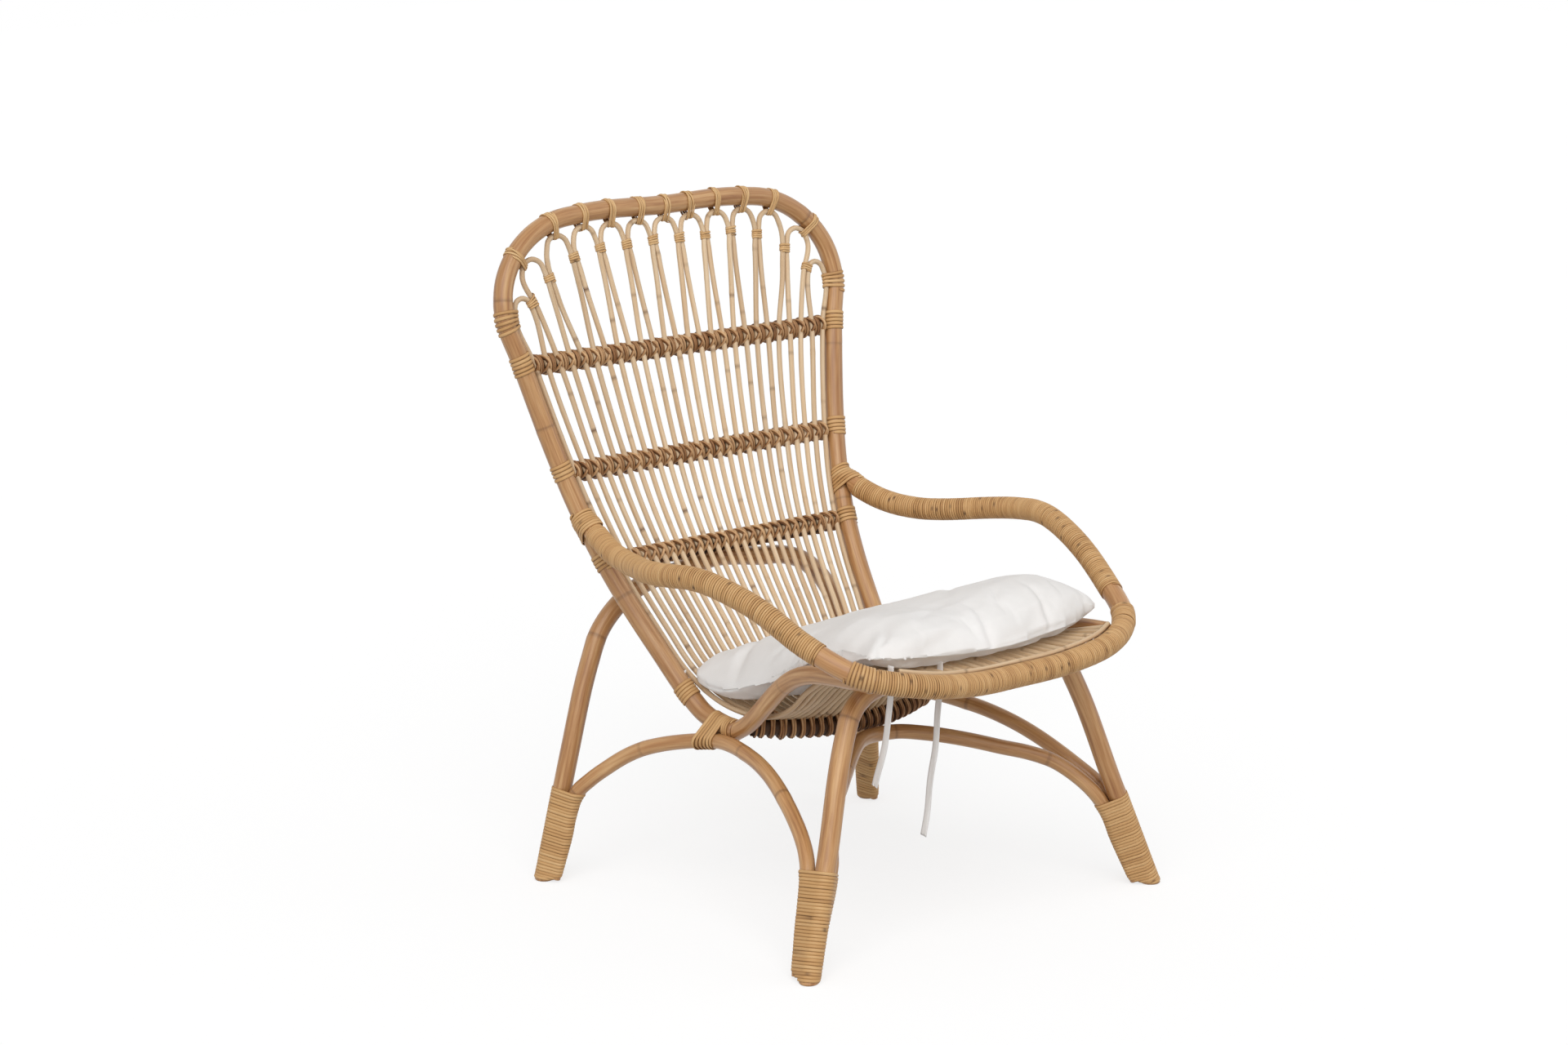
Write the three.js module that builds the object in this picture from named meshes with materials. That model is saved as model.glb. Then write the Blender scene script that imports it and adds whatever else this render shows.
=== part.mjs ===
// A high-backed rattan lounge chair: bent poles, hairpin canes, split-cane windings and a loose cushion.
// Millimetres. The chair faces -Y, +Z is up and X = 0 is its mirror plane.
import * as THREE from 'three';

// Pole and cane thicknesses
const BACK_POLE_DIAMETER = 30;
const ARM_POLE_DIAMETER = 32;
const LEG_DIAMETER = 30;
const SEAT_RAIL_DIAMETER = 28;
const CROSS_BAR_DIAMETER = 24;
const ARCH_DIAMETER = 23;
const ARCH_TIP_DIAMETER = 13;
const BACK_BAR_DIAMETER = 20;
const CANE_DIAMETER = 8.5;
const EDGING_DIAMETER = 7;

// Fits
const CLEARANCE = 0.3;
const WINDING_LIFT = 0.5;
const LANE_MARGIN = 1.5;
const PAIR_GAP = 1.5;

// Back frame: half an outline of tail, taper, rounded corner and level top rail
const BACK_TOP_HEIGHT = 1017;
const BACK_TOP_LEVEL = 330;
const BACK_WIDTH = 678;
const BACK_WIDEST_HEIGHT = 880;
const BACK_WAIST_WIDTH = 412;
const BACK_WAIST_HEIGHT = 305;
const TAIL_WIDTH = 398;
const TAIL_HEIGHT = 275;
const TAIL_DEPTH = 23;

// Lean of the back: two slopes that meet in a soft bend
const BEND_HEIGHT = 500;
const BEND_DEPTH = 331;
const BEND_SOFTNESS = 150;
const LEAN_ABOVE = 0.22;
const LEAN_BELOW = 1;

// Bars behind the canes, and bindings on the back frame, by height
const BAR_HEIGHTS = { upper: 800, middle: 637, lower: 503 };
const SHOULDER_BINDING_HEIGHT = 865;
const LOW_BINDING_HEIGHT = 318;

// Arms and front rail: the free curve of one half, from the joint to the middle of the front
const ARM_JOINT_HEIGHT = 567;
const ARM_JOINT_WRAP_BELOW = 30;
const ARM_JOINT_WRAP_ABOVE = 9;
const ARM_ROUTE = [
  [276, 250, 543], [286, 210, 532], [300, 155, 528], [318, 108, 531], [341, 62, 537], [358, 0, 545],
  [352, -75, 549], [330, -172, 522], [307, -257, 476], [271, -329, 441], [196, -375, 423], [100, -382, 410],
  [0, -377, 406],
];

// Legs: splayed and straight, then bent inward to a top bar
const FRONT_FOOT = [356, -317, 0];
const FRONT_KNEE = [236, -261, 335];
const FRONT_BAR_HALF = 140;
const FRONT_BAR_DEPTH = -254;
const FRONT_BAR_HEIGHT = 394;
const REAR_FOOT = [342, 319, 0];
const REAR_SHIN = [301, 298, 219];
const REAR_KNEE = [268, 302, 319];
const REAR_BEND = [[230, 305, 395], [161, 301, 445]];
const REAR_BAR_HALF = 84;
const REAR_BAR_RISE = 11;
const REAR_BAR_ANGLE = -60;

// Arches between the legs
const ARCH_TIP_HEIGHT = 4;
const ARCH_LEAVING_HEIGHT = 140;
const ARCH_TAPER_SHARE = 0.15;
const ARCH_GAP = 1.1;
const SIDE_ARCH_TOP_DEPTH = 44;
const SIDE_ARCH_TOP_ANGLE = -40;
const SIDE_ARCH_REAR = [[294, 243, 177], [262, 172, 227]];
const SIDE_ARCH_FRONT = [[226, -20, 257], [240, -85, 247], [260, -150, 224], [290, -230, 176]];
const SIDE_ARCH_BESIDE_REAR = [-0.2, -0.98];
const SIDE_ARCH_BESIDE_FRONT = [0.2, 0.98];
const FRONT_ARCH_BESIDE = [-0.85, 0.5];
const FRONT_ARCH_HALF = [[232, -226, 199], [160, -170, 226], [99, -122, 243], [40, -80, 252]];
const FRONT_ARCH_TOP_ANGLE = -140;

// Seat: side rails, cross bar and the lanes of the canes
const SEAT_RAIL_HALF = 241;
const SEAT_RAIL_END_HEIGHT = 423;
const SEAT_RAIL_ROUTE = [
  [240, -284, 421], [236, -240, 417], [231, -196, 411], [226, -154, 400], [220, -117, 382], [214, -80, 354],
  [208, -44, 323], [201, -10, 295],
];
const CROSS_BAR_END_DEPTH = 4;
const CROSS_BAR_END_HEIGHT = 283;
const CROSS_BAR_BOW = 49;
const CROSS_BAR_SAG = 12;
const FRONT_LANE_HALF = 222;
const CROSS_LANE_HALF = 178;
const CANE_END_RISE = 10;
const SEAT_SLOPE = [[-180, 0.859], [-130, 0.621], [-85, 0.32]]; // share of the fall from front to cross bar
const POCKET_DEPTH = 78;
const POCKET_HEIGHT = 307;
const BACK_STATIONS = [345, 400, 450];
const BACK_MID_STATION = 570;
const EDGING_ANGLE = 46.8;
const EDGING_HALF = 222;

// Canes
const HAIRPINS = 13;
const LOOP_LEG = 38;
const LOOP_SPREAD = 1.14;
const PAIR_SPREAD = 1.105;
const OUTER_LOOP_RADIUS = 17;

// Windings: a ridged strip of split cane, its turns counted
const STRIP_THICKNESS = 2;
const BINDING_STRIP = 8;
const BINDING_PITCH = 9.5;
const BINDING_TURNS = 2;
const CORNER_BINDING_TURNS = 3;
const FOOT_WINDING_TOP = 147;
const FOOT_WINDING_BASE = 14;
const FOOT_TURNS = 9;
const FOOT_STRIP = 11;
const ARM_JOINT_TURNS = 3;
const ARM_WINDING_START = 24;
const ARM_WINDING_END = 610;
const ARM_TURNS = 16;
const RAIL_STRIP = 12;
const CORNER_BINDING_PLACE = 676;
const RAIL_WINDING_HALF = 212;
const RAIL_TURNS = 16;
const SEAT_JOINT_START = 42;
const SEAT_JOINT_END = 76;
const LASHING_DIAMETER = 4;
const LASHING_WIDTH_SHARE = 0.36;
const LASHING_SHIFT_SHARE = 0.26;
const SEAT_LASHING_RISE = 1.2;
const SEAT_LASHING_TILT = 17;

// Cushion: plan, and the profiles of its top and underside from front to back
const CUSHION_FRONT_HALF = 272;
const CUSHION_BACK_HALF = 198;
const CUSHION_WAIST = 8;
const CUSHION_FRONT_ROUNDING = 0.17;
const CUSHION_BACK_ROUNDING = 0.07;
const CUSHION_TOP = [[-346, 448], [-325, 480], [-250, 500], [-100, 457], [50, 403], [122, 376], [148, 352]];
const CUSHION_FRONT_RISE = 14.2;
const CUSHION_SLOPE_RISE = 8.3;
const CUSHION_POCKET_RISE = [[-40, 19], [40, 11], [110, 22]];
const CUSHION_RAIL_GAP = 2.5;
const CUSHION_RAIL_MARGIN = 15;
const CUSHION_LEAST_THICKNESS = 6;
const CUSHION_TOP_FULLNESS = 7;
const CUSHION_UNDERSIDE_FULLNESS = 2;
const CUSHION_ROWS = 14;
const CUSHION_COLUMNS = 14;

// Ties: two flat ribbons that hang from the cushion between the canes
const TIE_WIDTH = 12;
const TIE_TOP_GAP = 0.4;
const TIE_THICKNESS = 1.4;
const FIRST_TIE = [
  [-200.4, -318, 442.6], [-200.4, -318, 421], [-200.4, -317.5, 400], [-200.4, -317, 388], [-200.4, -316, 376],
  [-200.4, -314.5, 364], [-200.4, -312.5, 352], [-200.4, -310, 340], [-200.4, -307, 328],
  [-200.4, -304, 316], [-200.4, -300.5, 304], [-200.4, -297, 292], [-200.4, -293.5, 280], [-200.4, -290, 268],
  [-200.4, -286.5, 256],
];
const SECOND_TIE = [
  [-102.8, -318, 433.2], [-102.8, -318, 411], [-102.8, -317.5, 390], [-102.8, -316.5, 371],
  [-102.8, -315, 352], [-102.8, -313, 333], [-102.8, -310.5, 314], [-102.8, -308, 295], [-102.8, -305, 276],
  [-102.8, -302, 257], [-102.8, -299, 238], [-102.8, -296, 219], [-102.8, -293, 200], [-102.8, -290, 181],
  [-102.8, -287, 162],
];

// Facets
const POLE_SIDES = 8;
const ARCH_SIDES = 6;
const CANE_SIDES = 5;
const LASHING_SIDES = 6;
const LASHING_CORD_SIDES = 3;
const TAIL_STEPS = 4;
const TAPER_STEPS = 8;
const CORNER_STEPS = 5;
const LOOP_STEPS = 4;
const ARM_STEPS = 64;
const LEG_STEPS = 30;
const BEND_STEPS = 5;
const ARCH_STEPS = 26;
const RAIL_STEPS = 12;
const BAR_STEPS = 12;

const BACK_RADIUS = BACK_POLE_DIAMETER / 2;
const ARM_RADIUS = ARM_POLE_DIAMETER / 2;
const LEG_RADIUS = LEG_DIAMETER / 2;
const RAIL_RADIUS = SEAT_RAIL_DIAMETER / 2;
const CROSS_RADIUS = CROSS_BAR_DIAMETER / 2;
const ARCH_RADIUS = ARCH_DIAMETER / 2;
const BAR_RADIUS = BACK_BAR_DIAMETER / 2;
const CANE_RADIUS = CANE_DIAMETER / 2;
const EDGING_RADIUS = EDGING_DIAMETER / 2;
const SIDES = { left: -1, right: 1 };
const LANES = 2 * HAIRPINS;

const ACROSS = new THREE.Vector3(1, 0, 0);
const BACKWARD = new THREE.Vector3(0, 1, 0);
const FORWARD = new THREE.Vector3(0, -1, 0);
const UPWARD = new THREE.Vector3(0, 0, 1);
const DOWNWARD = new THREE.Vector3(0, 0, -1);

const material = (color, roughness) => new THREE.MeshStandardMaterial({ color, roughness, metalness: 0 });
const POLE_FINISH = material(0xc0905e, 0.45);
const STRIP_FINISH = material(0xcba873, 0.55);
const CANE_FINISH = material(0xdcc6a3, 0.5);
const LASHING_FINISH = material(0x8a623f, 0.6);
const CUSHION_FINISH = material(0xe9e6e2, 0.9);

const chair = new THREE.Group();

function addPiece(name, geometry, finish) {
  const mesh = new THREE.Mesh(geometry, finish);
  mesh.name = name;
  chair.add(mesh);
}

const point = (x, y, z) => new THREE.Vector3(x, y, z);
const sided = (side, [x, y, z]) => point(side * x, y, z);
const mirrored = (p) => point(-p.x, p.y, p.z);
const between = (a, b, t) => a + (b - a) * t;
const radians = THREE.MathUtils.degToRad;
const fractions = (count) => Array.from({ length: count + 1 }, (_, i) => i / count);

/** A smooth curve through the points, as a list of stations. */
function smooth(points, count) {
  return new THREE.CatmullRomCurve3(points, false, 'centripetal').getSpacedPoints(count);
}

/** Both halves of a mirrored route: the given half, and its mirror image run back from the middle. */
function wholeRoute(half) {
  return [...half, ...half.slice(0, -1).reverse().map(mirrored)];
}

/** A direction square to the chair's width, from its angle above straight back. */
const slopeWay = (degrees) => point(0, Math.cos(radians(degrees)), Math.sin(radians(degrees)));

/** A bent pole: stations along its axis, swept by a regular polygon that may taper. */
class Pole extends THREE.Curve {
  constructor(stations, diameter, sides, facing, { taper = () => 1, startAlong, endAlong } = {}) {
    super();
    this.stations = stations;
    this.radius = diameter / 2;
    this.sides = sides;
    const last = stations.length - 1;
    this.tangents = stations.map((_, i) => {
      const [before, after] = [stations[Math.max(i - 1, 0)], stations[Math.min(i + 1, last)]];
      return after.clone().sub(before).normalize();
    });
    if (startAlong) this.tangents[0] = startAlong;
    if (endAlong) this.tangents[last] = endAlong;
    this.scales = stations.map((_, i) => taper(i / last));
    this.normals = [facing.clone().projectOnPlane(this.tangents[0]).normalize()];
    this.marks = [0];
    for (let i = 1; i <= last; i++) {
      const turn = new THREE.Quaternion().setFromUnitVectors(this.tangents[i - 1], this.tangents[i]);
      this.normals.push(this.normals[i - 1].clone().applyQuaternion(turn));
      this.marks.push(this.marks[i - 1] + stations[i].distanceTo(stations[i - 1]));
    }
    this.binormals = this.normals.map((normal, i) => this.tangents[i].clone().cross(normal));
    this.length = this.marks[last];
  }

  /** Slides the section at a station along the axis, on to a cutting plane square to a direction. */
  cutAt(i, square) {
    const tangent = this.tangents[i];
    for (const vectors of [this.normals, this.binormals]) {
      vectors[i].addScaledVector(tangent, -vectors[i].dot(square) / tangent.dot(square));
    }
  }

  getSpacedPoints() {
    return this.stations;
  }

  computeFrenetFrames() {
    const scaled = (vectors) => vectors.map((v, i) => v.clone().multiplyScalar(this.scales[i]));
    return { tangents: this.tangents, normals: scaled(this.normals), binormals: scaled(this.binormals) };
  }

  /** The stretch that holds a place along the pole, and how far into it the place lies. */
  locate(place) {
    let i = 0;
    while (i < this.marks.length - 2 && this.marks[i + 1] < place) i++;
    return [i, (place - this.marks[i]) / (this.marks[i + 1] - this.marks[i])];
  }

  axisAt(place) {
    const [i, t] = this.locate(place);
    return this.stations[i].clone().lerp(this.stations[i + 1], t);
  }

  corner(i, k) {
    const angle = (2 * Math.PI * k) / this.sides;
    const reach = this.radius * this.scales[i];
    return this.stations[i].clone()
      .addScaledVector(this.normals[i], reach * Math.cos(angle))
      .addScaledVector(this.binormals[i], reach * Math.sin(angle));
  }

  /** A point over corner k of the pole at a place along it, at a height above its faces. */
  skin(place, k, height) {
    const [i, t] = this.locate(place);
    const corner = this.corner(i, k).lerp(this.corner(i + 1, k), t);
    const out = corner.clone().sub(this.axisAt(place)).normalize();
    return corner.addScaledVector(out, height / Math.cos(Math.PI / this.sides));
  }

  /** Where the pole crosses a plane nearest to a point in it, with its reach there, if it does. */
  crossing(origin, along) {
    const heights = this.stations.map((p) => p.clone().sub(origin).dot(along));
    let best;
    for (let i = 0; i + 1 < heights.length; i++) {
      if (heights[i] * heights[i + 1] > 0 || heights[i] === heights[i + 1]) continue;
      const t = heights[i] / (heights[i] - heights[i + 1]);
      const centre = this.stations[i].clone().lerp(this.stations[i + 1], t);
      const slant = Math.abs(this.stations[i + 1].clone().sub(this.stations[i]).normalize().dot(along));
      const reach = (this.radius * between(this.scales[i], this.scales[i + 1], t)) / slant;
      if (!best || centre.distanceTo(origin) < best.centre.distanceTo(origin)) best = { centre, reach };
    }
    return best;
  }

  /** The place along the pole nearest to a point. */
  placeNear(target) {
    const near = { place: 0, distance: Infinity };
    const samples = this.marks.length * POLE_SIDES;
    for (const share of fractions(samples)) {
      const place = this.length * share;
      const distance = this.axisAt(place).distanceTo(target);
      if (distance < near.distance) Object.assign(near, { place, distance });
    }
    return near.place;
  }

  section() {
    const outline = fractions(this.sides).slice(1).map((share) =>
      new THREE.Vector2(this.radius, 0).rotateAround(new THREE.Vector2(), 2 * Math.PI * share));
    return new THREE.Shape(outline);
  }

  geometry() {
    const steps = this.stations.length - 1;
    return new THREE.ExtrudeGeometry(this.section(), { steps, extrudePath: this, bevelEnabled: false });
  }
}

/** A flat ribbon with softened edges. */
class Ribbon extends Pole {
  section() {
    const half = this.radius;
    const face = half - TIE_THICKNESS / 2;
    const edge = TIE_THICKNESS / 4;
    const outline = [[half, -edge], [half, edge], [face, 2 * edge], [-face, 2 * edge], [-half, edge],
      [-half, -edge], [-face, -2 * edge], [face, -2 * edge]];
    return new THREE.Shape(outline.map(([x, y]) => new THREE.Vector2(x, y)));
  }
}

/** Poles that are bound together: the hull round all of them, square to a straight axis. */
class Bundle {
  constructor(poles, from, to, facing) {
    this.poles = poles;
    this.from = from;
    this.along = to.clone().sub(from).normalize();
    this.length = to.distanceTo(from);
    this.sides = POLE_SIDES;
    this.normal = facing.clone().projectOnPlane(this.along).normalize();
    this.binormal = this.along.clone().cross(this.normal);
  }

  support(place, k) {
    const origin = this.from.clone().addScaledVector(this.along, place);
    const angle = (2 * Math.PI * k) / this.sides;
    const way = this.normal.clone().multiplyScalar(Math.cos(angle));
    way.addScaledVector(this.binormal, Math.sin(angle));
    const reaches = this.poles.map((pole) => pole.crossing(origin, this.along)).filter(Boolean);
    return Math.max(...reaches.map(({ centre, reach }) => centre.sub(origin).dot(way) + reach));
  }

  /** The hull's corner between two neighbouring supports, at a height above the poles. */
  skin(place, k, height) {
    const [near, far] = [k, k + 1].map((side) => this.support(place, side) + height);
    const [across, beside] = supportCorner(near, far, k, this.sides);
    return this.from.clone().addScaledVector(this.along, place)
      .addScaledVector(this.normal, across).addScaledVector(this.binormal, beside);
  }
}

/** Where two neighbouring support lines of a hull meet, k and k + 1 of so many round it. */
function supportCorner(near, far, k, sides) {
  const step = (2 * Math.PI) / sides;
  const angle = step * k;
  const across = (near * Math.sin(angle + step) - far * Math.sin(angle)) / Math.sin(step);
  const beside = (far * Math.cos(angle) - near * Math.cos(angle + step)) / Math.sin(step);
  return [across, beside];
}

/** A closed mesh from corners and triangles, turned so that its faces point out. */
function solidFrom(corners, faces) {
  const volume = faces.reduce((sum, [a, b, c]) =>
    sum + corners[a].dot(corners[b].clone().cross(corners[c])), 0);
  const outward = volume > 0 ? faces : faces.map(([a, b, c]) => [a, c, b]);
  const geometry = new THREE.BufferGeometry();
  geometry.setAttribute('position', new THREE.Float32BufferAttribute(corners.flatMap((p) => p.toArray()), 3));
  geometry.setIndex(outward.flat());
  geometry.computeVertexNormals();
  return geometry;
}

/** A closed strip from its sections, each two edges on the surface and a ridge over them. */
function stripGeometry(sections) {
  const corners = sections.flat();
  const faces = [];
  for (let j = 0; j + 1 < sections.length; j++) {
    for (let e = 0; e < 3; e++) {
      const [a, b] = [3 * j + e, 3 * j + ((e + 1) % 3)];
      faces.push([a, b, b + 3], [a, b + 3, a + 3]);
    }
  }
  const end = corners.length - 3;
  faces.push([2, 1, 0], [end, end + 1, end + 2]);
  return solidFrom(corners, faces);
}

/** Prints the least gap between a strip's neighbouring turns, measured on points along its edges. */
function reportGap(name, sections, stepsPerTurn) {
  const samples = [];
  for (let j = 0; j + 1 < sections.length; j++) {
    for (let e = 0; e < 3; e++) {
      const edge = sections[j][e];
      samples.push({ step: j, at: edge }, { step: j + 0.5, at: edge.clone().lerp(sections[j + 1][e], 0.5) });
    }
  }
  let least = Infinity;
  for (const a of samples) {
    for (const b of samples) {
      if (b.step - a.step > stepsPerTurn / 2) least = Math.min(least, a.at.distanceTo(b.at));
    }
  }
  console.log(`${name}: least gap between turns ${least.toFixed(2)} mm`);
}

/** One section of a strip over a core: its two edges and its ridge, clear of a bend's outer side. */
function stripSection(core, place, k, width) {
  const [near, over, far] = [-width / 2, 0, width / 2].map((run) => core.skin(place + run, k, WINDING_LIFT));
  const ridge = core.skin(place, k, WINDING_LIFT + STRIP_THICKNESS);
  const bulge = over.clone().sub(near.clone().lerp(far, 0.5));
  if (bulge.dot(ridge.clone().sub(over)) > 0) [near, far].forEach((edge) => edge.add(bulge));
  return [near, far, ridge];
}

/** Winds a strip round a pole or bundle, between two places along it. */
function addWinding(name, core, start, end, turns, width) {
  const steps = turns * core.sides;
  const sections = fractions(steps).map((share, j) =>
    stripSection(core, between(start + width / 2, end - width / 2, share), j, width));
  addPiece(name, stripGeometry(sections), STRIP_FINISH);
  reportGap(name, sections, core.sides);
}

/** A short binding of a few turns, centred on a place. */
function addBinding(name, core, place, turns) {
  const reach = (turns * BINDING_PITCH + BINDING_STRIP) / 2;
  addWinding(name, core, place - reach, place + reach, turns, BINDING_STRIP);
}

/** How far a wound pole reaches from its axis. */
const woundReach = (radius) => radius + (WINDING_LIFT + STRIP_THICKNESS) / Math.cos(Math.PI / POLE_SIDES);

/** How far a lashed bar reaches from its axis, away from the canes. */
function lashedReach(radius) {
  const cord = LASHING_DIAMETER / 2;
  return (radius + CLEARANCE + cord) / Math.cos(Math.PI / LASHING_SIDES) + cord;
}

// Back frame
const lean = (z) => {
  const mean = (LEAN_BELOW + LEAN_ABOVE) / 2;
  const swing = (LEAN_BELOW - LEAN_ABOVE) / 2;
  return BEND_DEPTH + mean * (z - BEND_HEIGHT) - swing * Math.hypot(z - BEND_HEIGHT, BEND_SOFTNESS);
};

/** Unit vector square to the back at a height, pointing behind it. */
const behind = (z) => point(0, 1, lean(z) - lean(z + 1)).normalize();

const backHalf = (z) => {
  const taper = (z - BACK_WAIST_HEIGHT) / (BACK_WIDEST_HEIGHT - BACK_WAIST_HEIGHT);
  return between(BACK_WAIST_WIDTH, BACK_WIDTH, taper) / 2;
};

const backPoint = (side, z) => point(side * backHalf(z), lean(z), z);

function backFrameHalf() {
  const waist = backPoint(1, BACK_WAIST_HEIGHT);
  const drop = BACK_WAIST_HEIGHT - TAIL_HEIGHT;
  const turn = point(TAIL_WIDTH / 2, waist.y - drop * (lean(BACK_WAIST_HEIGHT + 1) - waist.y), TAIL_HEIGHT);
  const tip = point(TAIL_WIDTH / 2, TAIL_DEPTH, TAIL_HEIGHT);
  const tail = new THREE.QuadraticBezierCurve3(tip, turn, waist).getPoints(TAIL_STEPS).slice(0, -1);
  const taper = fractions(TAPER_STEPS).slice(0, -1).map((t) =>
    backPoint(1, between(BACK_WAIST_HEIGHT, BACK_WIDEST_HEIGHT, t)));
  const corner = fractions(CORNER_STEPS).map((t) => {
    const angle = (t * Math.PI) / 2;
    const z = between(BACK_WIDEST_HEIGHT, BACK_TOP_HEIGHT, Math.sin(angle));
    return point(between(BACK_TOP_LEVEL, BACK_WIDTH, Math.cos(angle)) / 2, lean(z), z);
  });
  return [...tail, ...taper, ...corner, point(0, lean(BACK_TOP_HEIGHT), BACK_TOP_HEIGHT)];
}

const backFrame = new Pole(wholeRoute(backFrameHalf()), BACK_POLE_DIAMETER, POLE_SIDES, ACROSS,
  { startAlong: BACKWARD, endAlong: FORWARD });
addPiece('back_frame', backFrame.geometry(), POLE_FINISH);

/** Centre of the bar behind the canes at a height. */
function backBarCentre(z) {
  const away = CANE_RADIUS + BAR_RADIUS + CLEARANCE;
  return point(0, lean(z), z).addScaledVector(behind(z), away);
}

function addBackBars() {
  for (const [name, z] of Object.entries(BAR_HEIGHTS)) {
    const half = backHalf(z) - woundReach(BACK_RADIUS) - CLEARANCE - LANE_MARGIN;
    const ends = [-half, half].map((x) => backBarCentre(z).setX(x));
    const bar = new Pole(ends, BACK_BAR_DIAMETER, POLE_SIDES, behind(z).negate());
    addPiece(`back_bar_${name}`, bar.geometry(), POLE_FINISH);
    for (const [sideName, side] of Object.entries(SIDES)) {
      const place = backFrame.placeNear(backPoint(side, z));
      addBinding(`back_bar_binding_${name}_${sideName}`, backFrame, place, BINDING_TURNS);
    }
  }
}
addBackBars();

// Arms and front rail: each arm runs up to the axis of the back frame and is cut flat where it meets it
function armJoint(side) {
  const place = backFrame.placeNear(backPoint(side, ARM_JOINT_HEIGHT));
  const centre = backFrame.axisAt(place);
  const up = backFrame.axisAt(place + 1).sub(backFrame.axisAt(place - 1)).normalize();
  if (up.z < 0) up.negate();
  const arriving = centre.clone().sub(sided(side, ARM_ROUTE[0])).normalize();
  const square = arriving.clone().projectOnPlane(up).normalize();
  const end = centre.clone().addScaledVector(arriving, -(BACK_RADIUS + CLEARANCE) / arriving.dot(square));
  return { centre, up, arriving, square, end };
}

function bendArms() {
  const half = [armJoint(1).end, ...ARM_ROUTE.map((p) => sided(1, p))];
  const pole = new Pole(smooth(wholeRoute(half), ARM_STEPS), ARM_POLE_DIAMETER, POLE_SIDES, UPWARD);
  pole.cutAt(0, armJoint(1).square);
  pole.cutAt(ARM_STEPS, armJoint(-1).square);
  return pole;
}

const armRail = bendArms();
addPiece('arm_and_front_rail', armRail.geometry(), POLE_FINISH);

/** A place along the arm pole, measured from the joint of one side. */
const armPlace = (side, run) => (side > 0 ? run : armRail.length - run);

/** The back frame and an arm that runs on to its axis, bound square to the line midway between them. */
function armJointBundle(side) {
  const { centre, up, arriving } = armJoint(side);
  const midway = up.clone().add(arriving).normalize();
  const beyond = sided(side, ARM_ROUTE[0]).addScaledVector(arriving, -ARM_JOINT_WRAP_BELOW);
  const arm = new Pole([centre, beyond], ARM_POLE_DIAMETER, POLE_SIDES, ACROSS);
  const [from, to] = [-ARM_JOINT_WRAP_BELOW, ARM_JOINT_WRAP_ABOVE].map((run) =>
    centre.clone().addScaledVector(midway, run));
  return new Bundle([backFrame, arm], from, to, ACROSS);
}

function addArmWindings() {
  for (const [name, side] of Object.entries(SIDES)) {
    const ends = [armPlace(side, ARM_WINDING_START), armPlace(side, ARM_WINDING_END)].sort((a, b) => a - b);
    addWinding(`arm_winding_${name}`, armRail, ...ends, ARM_TURNS, RAIL_STRIP);
    const corner = armPlace(side, CORNER_BINDING_PLACE);
    addBinding(`front_corner_binding_${name}`, armRail, corner, CORNER_BINDING_TURNS);
    const joint = armJointBundle(side);
    addWinding(`arm_joint_binding_${name}`, joint, 0, joint.length, ARM_JOINT_TURNS, BINDING_STRIP);
  }
  const middle = armRail.length / 2;
  addWinding('front_rail_winding', armRail, middle - RAIL_WINDING_HALF, middle + RAIL_WINDING_HALF,
    RAIL_TURNS, RAIL_STRIP);
}
addArmWindings();

/** The front rail's axis at a distance across, and the level direction from it toward the seat. */
function railAt(x) {
  const front = sided(1, ARM_ROUTE.at(-1));
  const axisAt = (across) => armRail.crossing(front.clone().setX(across), ACROSS).centre;
  const along = axisAt(x + ARM_RADIUS / 2).sub(axisAt(x - ARM_RADIUS / 2));
  return { axis: axisAt(x), inward: UPWARD.clone().cross(along).normalize() };
}

// Legs, cut level with the floor
function legHoop(stations) {
  const ends = { startAlong: UPWARD, endAlong: DOWNWARD };
  return new Pole(stations, LEG_DIAMETER, POLE_SIDES, BACKWARD, ends);
}

/** Straight legs that bend into a level bar. */
function frontHoopStations() {
  const [foot, knee] = [FRONT_FOOT, FRONT_KNEE].map((p) => sided(1, p));
  const turn = foot.clone().lerp(knee, FRONT_BAR_HEIGHT / knee.z);
  const middle = point(0, FRONT_BAR_DEPTH, FRONT_BAR_HEIGHT);
  const bend = new THREE.QuadraticBezierCurve3(knee, turn, middle.clone().setX(FRONT_BAR_HALF));
  return wholeRoute([foot, foot.clone().lerp(knee, 0.5), ...bend.getPoints(BEND_STEPS), middle]);
}

/** Legs that lean in and round over into a shallow arch under the lowest back bar. */
function rearHoopStations() {
  const away = lashedReach(BAR_RADIUS) + LEG_RADIUS + ARCH_GAP;
  const middle = backBarCentre(BAR_HEIGHTS.lower).addScaledVector(slopeWay(REAR_BAR_ANGLE), away);
  const leg = [REAR_FOOT, REAR_SHIN, REAR_KNEE, ...REAR_BEND].map((p) => sided(1, p));
  const shoulder = point(REAR_BAR_HALF, middle.y, middle.z - REAR_BAR_RISE);
  return smooth(wholeRoute([...leg, shoulder, middle]), LEG_STEPS);
}

const frontHoop = legHoop(frontHoopStations());
const rearHoop = legHoop(rearHoopStations());
addPiece('front_leg_hoop', frontHoop.geometry(), POLE_FINISH);
addPiece('rear_leg_hoop', rearHoop.geometry(), POLE_FINISH);

/** A leg's axis at a height, on one side. */
const legAt = (hoop, side, z) => hoop.crossing(point(side * FRONT_FOOT[0], hoop.stations[0].y, z), UPWARD);

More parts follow.
